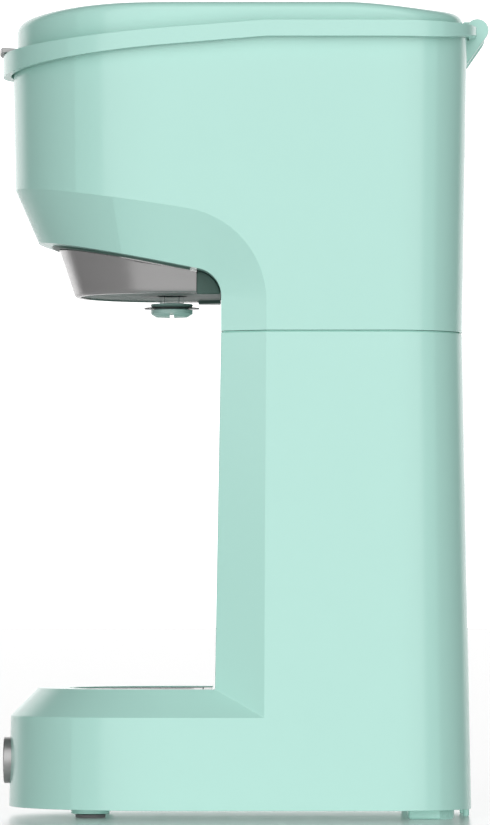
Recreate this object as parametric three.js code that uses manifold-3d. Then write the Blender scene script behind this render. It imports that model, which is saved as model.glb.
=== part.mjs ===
// Single-serve drip coffee maker with a D-shaped plan: base, column, overhanging brew head and hinged lid.
// Millimetres, +Z up, front at -Y. The origin is on the table, under the middle of the plan.
import * as THREE from "three";
import { mergeVertices } from "three/addons/utils/BufferGeometryUtils.js";
import Module from "manifold-3d";

const wasm = await Module();
wasm.setup();

// ---------- driving dimensions ----------
const GAP = 0.3;              // clearance between neighbouring pieces
const WALL = 2.4;             // shell thickness of the housings
const FRONT_ARC_Y = -25;      // centre of the front semicircle of the plan
const CORNER_X = 31;          // centres of the two rear corner arcs
const CORNER_Y = 52.3;
const SIDE_BREAK_Y = 8;       // where the lid's rim stops sloping

const BASE_Z = 3.4;           // bottom edge of the lower housing
const SEAM_Z = 175.5;         // joint between the two housings
const SEAM_GAP = 0.6;
const HOUSING_TOP_Z = 281;
const BASE_RADIUS = 61.2;     // plan radius at the bottom edge
const WAIST_RADIUS = 58.1;    // at the seam
const TOP_RADIUS = 60.0;      // at the top of the head

const PLATFORM_Z = 46.7;      // flat top of the base
const BAY_RADIUS = 50.5;      // inner edge of the bevel that runs all round the cup bay
const BAY_REACH = 75;         // the bay's cutter runs out past the housings to this radius

const RIM_RADIUS = 63.6;      // lid
const SKIRT_RADIUS = 60.8;
const DOME_RADIUS = 58.4;
const DOME_TOP_Z = 294.2;
const DOME_EDGE = 3.5;
const LID_WALL = 2.4;
const SKIRT_OVERLAP = 3.3;    // how far the head reaches up inside the lid's skirt
const SKIRT_GAP = 0.5;
const HEAD_REAR_Z = 284.4;    // the head's edge is no higher than this

const HINGE_Y = 85.5;
const HINGE_Z = 287.2;
const BREW_Y = -26.5;         // axis of the basket and the nozzle
const BUCKET_Z = 190.8;         // underside of the funnel that holds the basket
const DECK_Z = 266;
const DECK_THICKNESS = 2.4;
const LIP_TOP_Z = PLATFORM_Z - 0.5; // the tray's lip sits in a shallow recess
const LIP_Z = LIP_TOP_Z - 0.8;
const FLOOR_Z = 3.7;          // base plate
const FLOOR_THICKNESS = 2.4;

const BUTTON_Z = 20.1;
const TRAY_Y = -20;           // centre of the tray's round front
const TRAY_RADIUS = 43;
const TRAY_BACK_Y = -13;
const HEATER_Z = 26;
const PORT_X = 22;            // water ports of the heater and the tank
const PORT_Y = 58;
const HOSE_RADIUS = 4.6;
const HOSE_BORE = 3.2;
const STUB_RADIUS = 2.9;
const RISER_Y = 12.5;

// ---------- finishes ----------
const FINISH = {
  mint: { color: 0xbee8de, roughness: 0.42, metalness: 0 },
  mintDark: { color: 0x93b8ae, roughness: 0.5, metalness: 0 },
  black: { color: 0x2b302f, roughness: 0.55, metalness: 0 },
  insert: { color: 0x43524f, roughness: 0.5, metalness: 0 },
  silver: { color: 0x9c9c9c, roughness: 0.3, metalness: 0.7 },
  satin: { color: 0x7d7a7a, roughness: 0.35, metalness: 0.6 },
  steel: { color: 0xb9bdc0, roughness: 0.3, metalness: 1 },
  rubber: { color: 0x5c5b5c, roughness: 0.85, metalness: 0 },
  silicone: { color: 0xd7d4cc, roughness: 0.6, metalness: 0 },
  smoke: { color: 0x55605f, roughness: 0.2, metalness: 0 },
  aluminium: { color: 0xa8abad, roughness: 0.45, metalness: 1 },
  board: { color: 0x2f6b45, roughness: 0.6, metalness: 0 },
  bakelite: { color: 0x3a2a20, roughness: 0.6, metalness: 0 },
};

const group = new THREE.Group();

// ---------- solids ----------
function toManifold(positions, triangles) {
  return new wasm.Manifold(
    new wasm.Mesh({
      numProp: 3,
      vertProperties: Float32Array.from(positions),
      triVerts: Uint32Array.from(triangles),
    }),
  );
}

// Merges a geometry's shared vertices, drops collapsed triangles and turns its faces outward.
function solid(geometry) {
  const bare = geometry.clone();
  bare.deleteAttribute("normal");
  bare.deleteAttribute("uv");
  const merged = mergeVertices(bare, 1e-4);
  const index = merged.index.array;
  const triangles = [];
  for (let i = 0; i < index.length; i += 3) {
    const [a, b, c] = [index[i], index[i + 1], index[i + 2]];
    if (a !== b && b !== c && c !== a) triangles.push(a, b, c);
  }
  const positions = merged.attributes.position.array;
  const body = toManifold(positions, triangles);
  if (body.volume() > 0) return body;
  return toManifold(positions, triangles.reverse());
}

function geometryOf(body) {
  const mesh = body.getMesh();
  const geometry = new THREE.BufferGeometry();
  geometry.setAttribute("position", new THREE.BufferAttribute(Float32Array.from(mesh.vertProperties), 3));
  geometry.setIndex(new THREE.BufferAttribute(Uint32Array.from(mesh.triVerts), 1));
  geometry.computeVertexNormals();
  return geometry;
}

function add(name, body, finish) {
  const mesh = new THREE.Mesh(geometryOf(body), new THREE.MeshStandardMaterial(FINISH[finish]));
  mesh.name = name;
  group.add(mesh);
}

function join(...bodies) {
  return bodies.reduce((all, body) => all.add(body));
}

function cut(body, ...tools) {
  return tools.reduce((rest, tool) => rest.subtract(tool), body);
}

function block(x0, x1, y0, y1, z0, z1) {
  const geometry = new THREE.BoxGeometry(x1 - x0, y1 - y0, z1 - z0);
  geometry.translate((x0 + x1) / 2, (y0 + y1) / 2, (z0 + z1) / 2);
  return solid(geometry);
}

// Block between two distances from the middle plane, on the left (side 1) or the right (side -1).
function sideBlock(side, near, far, y0, y1, z0, z1) {
  return block(Math.min(side * near, side * far), Math.max(side * near, side * far), y0, y1, z0, z1);
}

// Upright round bar.
function bar(radius, z0, z1, x = 0, y = 0, sides = 20) {
  const geometry = new THREE.CylinderGeometry(radius, radius, z1 - z0, sides);
  geometry.rotateX(Math.PI / 2);
  geometry.translate(x, y, (z0 + z1) / 2);
  return solid(geometry);
}

// Round bar lying along Y, or along X.
function barY(radius, y0, y1, x, z, sides = 20) {
  const geometry = new THREE.CylinderGeometry(radius, radius, y1 - y0, sides);
  geometry.translate(x, (y0 + y1) / 2, z);
  return solid(geometry);
}

function barX(radius, x0, x1, y, z, sides = 20) {
  const geometry = new THREE.CylinderGeometry(radius, radius, x1 - x0, sides);
  geometry.rotateZ(Math.PI / 2);
  geometry.translate((x0 + x1) / 2, y, z);
  return solid(geometry);
}

// Turned piece about an upright axis, from [radius, z] pairs that run up its outside.
function turned(profile, x, y, sides = 24) {
  const points = profile.map(([radius, z]) => new THREE.Vector2(radius, z));
  points.unshift(new THREE.Vector2(0, profile[0][1]));
  points.push(new THREE.Vector2(0, profile[profile.length - 1][1]));
  const geometry = new THREE.LatheGeometry(points, sides);
  geometry.rotateX(Math.PI / 2);
  geometry.translate(x, y, 0);
  return solid(geometry);
}

function upright(shape, z0, z1, curveSegments = 12) {
  const geometry = new THREE.ExtrudeGeometry(shape, { depth: z1 - z0, bevelEnabled: false, curveSegments });
  geometry.translate(0, 0, z0);
  return solid(geometry);
}

// Side profile given in (y, z), run across from x0 to x1.
function across(shape, x0, x1, curveSegments = 12) {
  const geometry = new THREE.ExtrudeGeometry(shape, { depth: x1 - x0, bevelEnabled: false, curveSegments });
  const turn = new THREE.Matrix4().makeBasis(
    new THREE.Vector3(0, 1, 0),
    new THREE.Vector3(0, 0, 1),
    new THREE.Vector3(1, 0, 0),
  );
  geometry.applyMatrix4(turn);
  geometry.translate(x0, 0, 0);
  return solid(geometry);
}

function polygon(corners) {
  return new THREE.Shape(corners.map(([u, v]) => new THREE.Vector2(u, v)));
}

// Round tube along a route, hollow when it has a bore.
function tube(route, radius, bore, steps, sides = 10) {
  const shape = new THREE.Shape();
  shape.absarc(0, 0, radius, 0, 2 * Math.PI, false);
  if (bore) {
    const hole = new THREE.Path();
    hole.absarc(0, 0, bore, 0, 2 * Math.PI, true);
    shape.holes.push(hole);
  }
  const options = { steps, bevelEnabled: false, extrudePath: route, curveSegments: sides / 2 };
  return solid(new THREE.ExtrudeGeometry(shape, options));
}

// ---------- plan outline and lofts ----------
const FRONT_STEPS = 12;
const CORNER_STEPS = 6;

// The D-shaped plan: round front, straight sides, rounded rear corners. The height may follow y.
function planRing(radius, height) {
  const half = [];
  for (let i = 0; i <= FRONT_STEPS; i += 1) {
    const turn = (i / FRONT_STEPS) * (Math.PI / 2);
    half.push([radius * Math.sin(turn), FRONT_ARC_Y - radius * Math.cos(turn)]);
  }
  half[0][0] = 0;
  half.push([radius, SIDE_BREAK_Y]);
  const corner = radius - CORNER_X;
  for (let i = 0; i <= CORNER_STEPS; i += 1) {
    const turn = (i / CORNER_STEPS) * (Math.PI / 2);
    half.push([CORNER_X + corner * Math.cos(turn), CORNER_Y + corner * Math.sin(turn)]);
  }
  const otherHalf = half.slice(1).reverse().map(([x, y]) => [-x, y]);
  const heightAt = typeof height === "function" ? height : () => height;
  return [...half, ...otherHalf].map(([x, y]) => new THREE.Vector3(x, y, heightAt(y)));
}

// Closed solid through rings of equal point count; the ends are closed straight across in x.
function loft(rings) {
  const count = rings[0].length;
  const mirror = (i) => (count - i) % count;
  const positions = rings.flat().flatMap((p) => [p.x, p.y, p.z]);
  const triangles = [];
  for (let level = 0; level + 1 < rings.length; level += 1) {
    for (let i = 0; i < count; i += 1) {
      const [a, b] = [level * count + i, level * count + ((i + 1) % count)];
      triangles.push(a, b, b + count, a, b + count, a + count);
    }
  }
  const top = (rings.length - 1) * count;
  for (let i = 0; i < (count - 1) / 2; i += 1) {
    const [a, b, c, d] = [i, i + 1, mirror(i + 1), mirror(i)];
    triangles.push(a, c, b, top + a, top + b, top + c);
    if (d !== a) triangles.push(a, d, c, top + a, top + c, top + d);
  }
  const geometry = new THREE.BufferGeometry();
  geometry.setAttribute("position", new THREE.BufferAttribute(Float32Array.from(positions), 3));
  geometry.setIndex(triangles);
  return solid(geometry);
}

function planBlock(radius, z0, z1) {
  return loft([planRing(radius, z0), planRing(radius, z1)]);
}

// Tray, flange and visor outlines: half round in front, straight back to a flat rear.
function halfRound(radius, centreY, backY) {
  const shape = new THREE.Shape();
  shape.moveTo(radius, backY);
  shape.lineTo(-radius, backY);
  shape.lineTo(-radius, centreY);
  shape.absarc(0, centreY, radius, Math.PI, 2 * Math.PI, false);
  return shape;
}

function lowerRadius(z) {
  return THREE.MathUtils.mapLinear(z, BASE_Z, SEAM_Z, BASE_RADIUS, WAIST_RADIUS);
}

function upperRadius(z) {
  return THREE.MathUtils.mapLinear(z, SEAM_Z, HOUSING_TOP_Z, WAIST_RADIUS, TOP_RADIUS);
}

// ---------- cup bay ----------
// Side profile of the bay's inner edge and of the bevel's outer edge, swept round the plan.
const CEILING_FRONT = { y: -75.5, z: 210.5, slope: -0.2 };
const BEVEL_FRONT = { y: -83.7, z: 230.1, slope: -0.16 };
const COLUMN_BASE_Y = -10.3;
const INNER_FILLET = { y: -18.1, z: 188.5, radius: 10 };
const OUTER_FILLET = { y: -25.8, z: 186, radius: 34 };
const BEVEL_BASE = { y: 7.5, z: 36.6, radius: 60.5 };
const BEVEL_RADIUS = 58.7;    // plan radius of the bevel's outer edge on the column and head
const ARC_STEPS = 12;
const FILLET_STEPS = 6;

function ceilingZ(y) {
  return CEILING_FRONT.z + CEILING_FRONT.slope * (y - CEILING_FRONT.y);
}

function bevelZ(y) {
  return BEVEL_FRONT.z + BEVEL_FRONT.slope * (y - BEVEL_FRONT.y);
}

function mirrored([x, y, z]) {
  return [-x, y, z];
}

// The bay as a solid. A positive skin grows it into the housings, for the inside of their walls.
function cupBay(skin) {
  const inner = BAY_RADIUS - 0.58 * skin;
  const baseRun = (BAY_REACH - BAY_RADIUS) / (BEVEL_BASE.radius - BAY_RADIUS);
  const headRun = (BAY_REACH - BAY_RADIUS) / (BEVEL_RADIUS - BAY_RADIUS);
  const run = (from, to, factor) => from + factor * (to - from);
  const platformReachZ = run(PLATFORM_Z, BEVEL_BASE.z, baseRun) - 1.47 * skin;
  const around = (radius, turn) => [radius * Math.sin(turn), FRONT_ARC_Y - radius * Math.cos(turn)];
  const rows = [];
  const row = (innerX, innerY, innerZ, outerX, outerY, outerZ) => {
    const far = [outerX, outerY, outerZ];
    const near = [innerX, innerY, innerZ];
    rows.push([mirrored(far), mirrored(near), near, far]);
  };

  for (let i = 0; i <= ARC_STEPS; i += 1) {
    const turn = (i / ARC_STEPS) * (Math.PI / 2);
    row(...around(inner, turn), PLATFORM_Z - skin, ...around(BAY_REACH, turn), platformReachZ);
  }
  const columnReachY = run(COLUMN_BASE_Y, BEVEL_BASE.y, baseRun) + 2.15 * skin;
  row(inner, COLUMN_BASE_Y + skin, PLATFORM_Z - skin, BAY_REACH, columnReachY, platformReachZ);

  const lastTurn = Math.PI / 2 + Math.atan(CEILING_FRONT.slope);
  const lastOuterTurn = Math.PI / 2 + Math.atan(BEVEL_FRONT.slope);
  for (let i = 0; i <= FILLET_STEPS; i += 1) {
    const turn = (i / FILLET_STEPS) * lastTurn;
    const outerTurn = (i / FILLET_STEPS) * lastOuterTurn;
    const sharpY = INNER_FILLET.y + INNER_FILLET.radius * Math.cos(turn);
    const sharpZ = INNER_FILLET.z + INNER_FILLET.radius * Math.sin(turn);
    const reachY = run(sharpY, OUTER_FILLET.y + OUTER_FILLET.radius * Math.cos(outerTurn), headRun);
    const outerY = Math.max(reachY, FRONT_ARC_Y + 1);
    const outerZ = run(sharpZ, OUTER_FILLET.z + OUTER_FILLET.radius * Math.sin(outerTurn), headRun);
    row(inner, sharpY + skin * Math.cos(turn), sharpZ + skin * Math.sin(turn),
      BAY_REACH, outerY + 2.3 * skin * Math.cos(turn), outerZ + 2.5 * skin * Math.sin(turn));
  }
  for (let i = ARC_STEPS; i >= 0; i -= 1) {
    const turn = (i / ARC_STEPS) * (Math.PI / 2);
    const [x, y] = around(inner, turn);
    const sharpZ = ceilingZ(around(BAY_RADIUS, turn)[1]);
    const edgeZ = bevelZ(around(BEVEL_RADIUS, turn)[1]);
    row(x, y, sharpZ + skin, ...around(BAY_REACH, turn), run(sharpZ, edgeZ, headRun) + 2.5 * skin);
  }

  const positions = rows.flat(2);
  const at = (rowNumber, column) => rowNumber * 4 + column;
  const triangles = [];
  for (let r = 0; r + 1 < rows.length; r += 1) {
    for (let column = 0; column < 3; column += 1) {
      const [a, b, c, d] = [at(r, column), at(r, column + 1), at(r + 1, column + 1), at(r + 1, column)];
      triangles.push(a, b, c, a, c, d);
    }
  }
  const last = rows.length - 1;
  for (let i = 0; i < ARC_STEPS; i += 1) {
    const partner = last - i;
    triangles.push(at(i, 3), at(partner, 3), at(partner - 1, 3));
    triangles.push(at(i, 3), at(partner - 1, 3), at(i + 1, 3));
    triangles.push(at(i, 0), at(partner - 1, 0), at(partner, 0));
    triangles.push(at(i, 0), at(i + 1, 0), at(partner - 1, 0));
  }
  const sideRows = rows.slice(ARC_STEPS, rows.length - ARC_STEPS);
  const outline = sideRows.map((points) => new THREE.Vector2(points[3][1], points[3][2]));
  for (const [a, b, c] of THREE.ShapeUtils.triangulateShape(outline, [])) {
    const [p, q, s] = [a, b, c].map((i) => i + ARC_STEPS);
    triangles.push(at(p, 3), at(s, 3), at(q, 3), at(p, 0), at(q, 0), at(s, 0));
  }
  const geometry = new THREE.BufferGeometry();
  geometry.setAttribute("position", new THREE.BufferAttribute(Float32Array.from(positions), 3));
  geometry.setIndex(triangles);
  return solid(geometry);
}

const bay = cupBay(0);
const bayBehindWall = cupBay(WALL);

// ---------- heights that follow the plan's y ----------
function rimBottomZ(y) {
  if (y > SIDE_BREAK_Y) return 281.1 + 2.9 * Math.max(0, (y - CORNER_Y) / (RIM_RADIUS - CORNER_X)) ** 4;
  const drop = 1.8 * Math.max(0, (FRONT_ARC_Y - y) / RIM_RADIUS) ** 3;
  return THREE.MathUtils.mapLinear(y, -87, SIDE_BREAK_Y, 273.3, 281.1) - drop;
}

function rimTopZ(y) {
  return y < SIDE_BREAK_Y ? THREE.MathUtils.mapLinear(y, -88.3, SIDE_BREAK_Y, 279.5, 286.9) : 286.9;
}

function headTopZ(y) {
  const overlap = SKIRT_OVERLAP - 3.1 * THREE.MathUtils.smoothstep(y, 58, 78);
  return Math.min(rimBottomZ(y) + overlap, HEAD_REAR_Z);
}

function domeZ(y) {
  const front = Math.max(0, -40 - y) / 40;
  return DOME_TOP_Z - 2.6 * front ** 2 - 2.6 * THREE.MathUtils.smoothstep(y, 36, 72);
}

// ---------- base ----------
const SCREW_PLACES = [[39, -63.9], [-39, -63.9], [54.5, 40], [-54.5, 40]];
const GLAND_Z = 14;
const FOOT_PLACES = { left: 28, right: -28 };
const FOOT_Y = -55.6;
const BOSS_RADIUS = 7;
const BOSS_Z = 1.4;
const PAD_RADIUS = 5.5;

function lowerHousing() {
  const top = SEAM_Z - SEAM_GAP / 2;
  const outside = loft([planRing(BASE_RADIUS, BASE_Z), planRing(lowerRadius(top), top)]);
  const inside = loft([planRing(BASE_RADIUS - WALL, BASE_Z - 1), planRing(lowerRadius(top) - WALL, top + 1)]);
  const trayCup = upright(halfRound(TRAY_RADIUS + 2.4, TRAY_Y, TRAY_BACK_Y + 2.4), 32.8, PLATFORM_Z - 1);
  const trayPocket = upright(halfRound(TRAY_RADIUS + 0.4, TRAY_Y, TRAY_BACK_Y + 0.4), 34.8, PLATFORM_Z + 1);
  const lipSeat = upright(halfRound(TRAY_RADIUS + 1.5, TRAY_Y, TRAY_BACK_Y + 1.5), LIP_Z - GAP, PLATFORM_Z + 1);
  let cavity = cut(inside, bayBehindWall, trayCup);
  for (const [x, y] of SCREW_PLACES) {
    cavity = cut(cavity, bar(4, FLOOR_Z + FLOOR_THICKNESS + GAP, 32, x, y, 16));
  }
  let body = cut(outside, bay, cavity, trayPocket, lipSeat);
  for (const [x, y] of SCREW_PLACES) body = cut(body, bar(1.7, 0, 22, x, y, 12));
  for (const x of [-15, 15]) body = join(body, bar(1.2, 0, BASE_Z + 1, x, 81.2, 12));
  return cut(
    body,
    barY(8.9, -95, -70, 0, BUTTON_Z, 24),
    barY(5.8, 70, 90, 0, GLAND_Z, 20),
  );
}

function basePlate() {
  let body = planBlock(BASE_RADIUS - WALL - 0.5, FLOOR_Z, FLOOR_Z + FLOOR_THICKNESS);
  for (const x of Object.values(FOOT_PLACES)) body = join(body, bar(BOSS_RADIUS, BOSS_Z, FLOOR_Z + 1, x, FOOT_Y, 28));
  for (const x of Object.values(FOOT_PLACES)) body = cut(body, bar(2.1, 0, FLOOR_Z + 5, x, FOOT_Y, 12));
  const underside = planBlock(BASE_RADIUS - WALL - 1.5, 0, FLOOR_Z + 1);
  for (const side of [-1, 1]) {
    const foot = sideBlock(side, 34, 54, 59.2, 75.9, 0, FLOOR_Z + 1);
    body = join(body, foot.intersect(underside));
  }
  for (const [x, y] of SCREW_PLACES) {
    const recess = bar(3.3, 0, FLOOR_Z + 1.4, x, y, 20);
    body = cut(body, recess, bar(1.7, 0, 9, x, y, 12));
  }
  return body;
}

function footPad(x) {
  return turned([[PAD_RADIUS, 0], [PAD_RADIUS, BOSS_Z - GAP], [1.8, BOSS_Z - GAP], [1.8, 5.6]], x, FOOT_Y, 20);
}

function screw(x, y, headZ, headRadius, headHeight, shankRadius, tipZ, sides = 12) {
  const direction = Math.sign(tipZ - headZ);
  const headEnd = headZ + direction * headHeight;
  const profile = [[headRadius, headZ], [headRadius, headEnd], [shankRadius, headEnd], [shankRadius, tipZ]];
  return turned(profile, x, y, sides);
}

add("lower_housing", lowerHousing(), "mint");
add("base_plate", basePlate(), "mintDark");
for (const [side, x] of Object.entries(FOOT_PLACES)) add(`front_foot_pad_${side}`, footPad(x), "rubber");
SCREW_PLACES.forEach(([x, y], i) => {
  add(`base_screw_${i + 1}`, screw(x, y, FLOOR_Z + 0.2, 2.9, 0.9, 1.3, 18), "steel");
});

// ---------- cord gland ----------
const glandFlange = barY(7.6, 78.8, 79.7, 0, GLAND_Z, 20);
const glandSleeve = barY(5.5, 79, 82.1, 0, GLAND_Z, 20);
add("cord_gland", cut(join(glandFlange, glandSleeve), barY(3.3, 70, 90, 0, GLAND_Z, 16)), "black");

// ---------- drip tray ----------
const TRAY_FLOOR_Z = 35.2;
const GRILLE_RADIUS = TRAY_RADIUS - 2.2;
const GRILLE_Z = LIP_TOP_Z - 2.2;

function dripTray() {
  const cup = upright(halfRound(TRAY_RADIUS, TRAY_Y, TRAY_BACK_Y), TRAY_FLOOR_Z, LIP_TOP_Z);
  const lip = upright(halfRound(TRAY_RADIUS + 1.2, TRAY_Y, TRAY_BACK_Y + 1.2), LIP_Z, LIP_TOP_Z);
  const wellOutline = halfRound(TRAY_RADIUS - 3.6, TRAY_Y, TRAY_BACK_Y - 3.6);
  const well = upright(wellOutline, TRAY_FLOOR_Z + 1.6, LIP_TOP_Z + 2);
  const seat = upright(halfRound(TRAY_RADIUS - 1.8, TRAY_Y, TRAY_BACK_Y - 1.8), GRILLE_Z - GAP, LIP_TOP_Z + 2);
  return cut(join(cup, lip), well, seat);
}

function dripGrille() {
  const back = TRAY_BACK_Y - 2.2;
  const plate = halfRound(GRILLE_RADIUS, TRAY_Y, back);
  const pitch = 7.2;
  for (let i = -5; i <= 5; i += 1) {
    const x = i * pitch;
    const front = TRAY_Y - Math.sqrt((GRILLE_RADIUS - 4) ** 2 - x * x);
    const slot = new THREE.Path();
    slot.moveTo(x - 1.7, back - 3);
    slot.lineTo(x - 1.7, front);
    slot.lineTo(x + 1.7, front);
    slot.lineTo(x + 1.7, back - 3);
    if (Math.abs(x) < GRILLE_RADIUS - 4) plate.holes.push(slot);
  }
  return upright(plate, GRILLE_Z, LIP_TOP_Z - 0.1);
}

add("drip_tray", dripTray(), "black");
add("drip_grille", dripGrille(), "black");

// ---------- button ----------
const BUTTON_FRONT_Y = -88.3;
const CAP_RADIUS = 6.4;

const bezelRing = cut(
  join(barY(8.5, BUTTON_FRONT_Y + 0.1, -80.5, 0, BUTTON_Z, 32), barY(10, -82, -80.5, 0, BUTTON_Z, 24)),
  barY(CAP_RADIUS + GAP, -95, -70, 0, BUTTON_Z, 32),
);
add("button_bezel", bezelRing, "silver");
const cap = join(
  barY(CAP_RADIUS, BUTTON_FRONT_Y, -79, 0, BUTTON_Z, 32),
  barY(8, -80.2, -79, 0, BUTTON_Z, 24),
  barY(2, -79, -71, 0, BUTTON_Z, 12),
);
add("button_cap", cap, "silver");
const switchBody = block(-6, 6, -68.8, -60, BUTTON_Z - 6.3, BUTTON_Z + 6.2);
const switchPlunger = block(-1.5, 1.5, -69, -68, BUTTON_Z - 1.8, BUTTON_Z + 1.8);
add("button_switch", join(switchBody, switchPlunger), "black");

// Compression spring round the button's stem, between the cap and the switch.
class Coil extends THREE.Curve {
  getPoint(t, target = new THREE.Vector3()) {
    const turn = t * 4 * 2 * Math.PI;
    return target.set(3.6 * Math.cos(turn), -78.2 + 8.6 * t, BUTTON_Z + 3.6 * Math.sin(turn));
  }
}
add("button_spring", tube(new Coil(), 0.4, 0, 48, 6), "steel");

const boardPlate = block(-26, 26, -58.6, -57, 10, 32);
const boardFoot = block(-24, 24, -59.4, -57, FLOOR_Z + FLOOR_THICKNESS + GAP, 11);
const relay = block(-20, -8, -57.5, -48, 14, 28);
const capacitor = barY(4, -57.5, -46, 12, 20, 14);
add("control_board", join(boardPlate, boardFoot, relay, capacitor), "board");

// ---------- heating ----------
const LEG_END_Y = 64;
const ARC_Y = 30;
const CASTING_HALF_HEIGHT = 9;
const CASTING_HALF_WIDTH = 7;
const PAD_TOP_Z = HEATER_Z + CASTING_HALF_HEIGHT + 0.4;

function leg(x, startY, endY) {
  const start = new THREE.Vector3(x, startY, HEATER_Z);
  return new THREE.LineCurve3(start, new THREE.Vector3(x, endY, HEATER_Z));
}

function heaterBody() {
  const route = new THREE.CurvePath();
  route.add(leg(-PORT_X, LEG_END_Y, ARC_Y));
  const bend = 0.5523 * PORT_X;
  const front = ARC_Y - PORT_X;
  for (const side of [-1, 1]) {
    const points = [
      new THREE.Vector3(side * PORT_X, ARC_Y, HEATER_Z),
      new THREE.Vector3(side * PORT_X, ARC_Y - bend, HEATER_Z),
      new THREE.Vector3(side * bend, front, HEATER_Z),
      new THREE.Vector3(0, front, HEATER_Z),
    ];
    if (side > 0) points.reverse();
    route.add(new THREE.CubicBezierCurve3(...points));
  }
  route.add(leg(PORT_X, ARC_Y, LEG_END_Y));
  const section = new THREE.Shape();
  section.absellipse(0, 0, CASTING_HALF_HEIGHT, CASTING_HALF_WIDTH, 0, 2 * Math.PI, false);
  const options = { steps: 28, bevelEnabled: false, extrudePath: route, curveSegments: 7 };
  const casting = solid(new THREE.ExtrudeGeometry(section, options));
  const ports = [-PORT_X, PORT_X].map((x) => bar(STUB_RADIUS, HEATER_Z, HEATER_Z + 20, x, PORT_Y, 12));
  const thermostatPad = bar(8, HEATER_Z, PAD_TOP_Z, 0, ARC_Y - PORT_X, 20);
  return join(casting, ...ports, thermostatPad);
}

function heaterStrap() {
  const top = HEATER_Z + 10;
  const outside = block(-35, 35, 42, 50, 6.4, top + 1.2);
  const inside = block(-33.8, 33.8, 41, 51, 0, top);
  const feet = [-1, 1].map((side) => sideBlock(side, 34, 44, 42, 50, 6.4, 7.6));
  return cut(join(cut(outside, inside), ...feet), bar(1.8, 0, 9, -40, 46, 12), bar(1.8, 0, 9, 40, 46, 12));
}

add("heater", heaterBody(), "aluminium");
add("heater_strap", heaterStrap(), "steel");
for (const [name, x] of [["strap_screw_left", 40], ["strap_screw_right", -40]]) {
  add(name, screw(x, 46, 10, 3, 2.1, 1.3, 6.5), "steel");
}
const canZ = PAD_TOP_Z + GAP;
const can = turned([[7.5, canZ], [7.5, canZ + 4], [5, canZ + 4], [5, canZ + 8]], 0, ARC_Y - PORT_X, 20);
add("thermostat", can, "bakelite");
const FUSE_RADIUS = 2.2;
const fuseZ = HEATER_Z + CASTING_HALF_HEIGHT + GAP + FUSE_RADIUS;
add("thermal_fuse", barY(FUSE_RADIUS, 22, 38, -PORT_X, fuseZ, 12), "steel");
add("terminal_block", join(block(24, 44, -30, -20, 6.4, 16), block(26, 42, -28, -22, 15, 20)), "bakelite");

const wireRoute = new THREE.CatmullRomCurve3([
  new THREE.Vector3(0, -45.6, 24),
  new THREE.Vector3(0, -40, 24),
  new THREE.Vector3(4, -25, 22),
  new THREE.Vector3(2, -12, 26),
  new THREE.Vector3(0, -5, 33),
  new THREE.Vector3(0, -4, 42),
]);
add("wire_harness", tube(wireRoute, 1.8, 0, 20, 8), "bakelite");

// ---------- water tank ----------
const TANK_RADIUS = 53.5;
const TANK_FRONT_Y = 19;
const TANK_BOTTOM_Z = 190;
const TANK_TOP_Z = DECK_Z - GAP;
const TANK_WALL = 1.8;

function waterTank() {
  const behind = block(-70, 70, TANK_FRONT_Y, 90, 150, 300);
  const hollowBehind = block(-70, 70, TANK_FRONT_Y + TANK_WALL, 90, 150, 300);
  const outside = planBlock(TANK_RADIUS, TANK_BOTTOM_Z, TANK_TOP_Z).intersect(behind);
  const hollowPlan = planBlock(TANK_RADIUS - TANK_WALL, TANK_BOTTOM_Z + 2, TANK_TOP_Z + 1);
  const hollow = hollowPlan.intersect(hollowBehind);
  const stub = bar(STUB_RADIUS, TANK_BOTTOM_Z - 12, TANK_BOTTOM_Z + 1, PORT_X, PORT_Y, 12);
  const bore = bar(1.9, TANK_BOTTOM_Z - 13, TANK_BOTTOM_Z + 5, PORT_X, PORT_Y, 12);
  return cut(join(outside, stub), hollow, bore);
}

add("water_tank", waterTank(), "smoke");
const sieve = turned([[5, TANK_BOTTOM_Z + 2.3], [4, TANK_BOTTOM_Z + 14]], PORT_X, PORT_Y, 16);
const sieveHollow = turned([[4, TANK_BOTTOM_Z + 2], [3, TANK_BOTTOM_Z + 12]], PORT_X, PORT_Y, 16);
add("tank_filter", cut(sieve, sieveHollow), "steel");

// ---------- hoses ----------
const VALVE_Z0 = 84;
const VALVE_Z1 = 104;
const hoseStub = (z0, z1) => bar(STUB_RADIUS, z0, z1, PORT_X, PORT_Y, 12);
const straightHose = (z0, z1) => {
  const hose = bar(HOSE_RADIUS, z0, z1, PORT_X, PORT_Y, 14);
  return cut(hose, bar(HOSE_BORE, z0 - 1, z1 + 1, PORT_X, PORT_Y, 14));
};
add("upper_inlet_hose", straightHose(VALVE_Z1 + 1, TANK_BOTTOM_Z - 1), "silicone");
add("lower_inlet_hose", straightHose(HEATER_Z + 9, VALVE_Z0 - 1), "silicone");
const valveBody = turned([[6.5, VALVE_Z0], [6.5, VALVE_Z1]], PORT_X, PORT_Y, 18);
const valveStubs = [hoseStub(VALVE_Z0 - 8, VALVE_Z0 + 1), hoseStub(VALVE_Z1 - 1, VALVE_Z1 + 8)];
add("check_valve", join(valveBody, ...valveStubs), "black");

const riserRoute = new THREE.CatmullRomCurve3([
  new THREE.Vector3(-PORT_X, PORT_Y, HEATER_Z + 10),
  new THREE.Vector3(-PORT_X, PORT_Y, 48),
  new THREE.Vector3(-PORT_X, PORT_Y, 62),
  new THREE.Vector3(-PORT_X, PORT_Y - 4, 85),
  new THREE.Vector3(-12, 36, 125),
  new THREE.Vector3(-2, 16, 160),
  new THREE.Vector3(0, RISER_Y, 185),
  new THREE.Vector3(0, RISER_Y, 220),
  new THREE.Vector3(0, RISER_Y, DECK_Z - 2),
]);
add("riser_hose", tube(riserRoute, HOSE_RADIUS, HOSE_BORE, 32, 10), "silicone");

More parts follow.
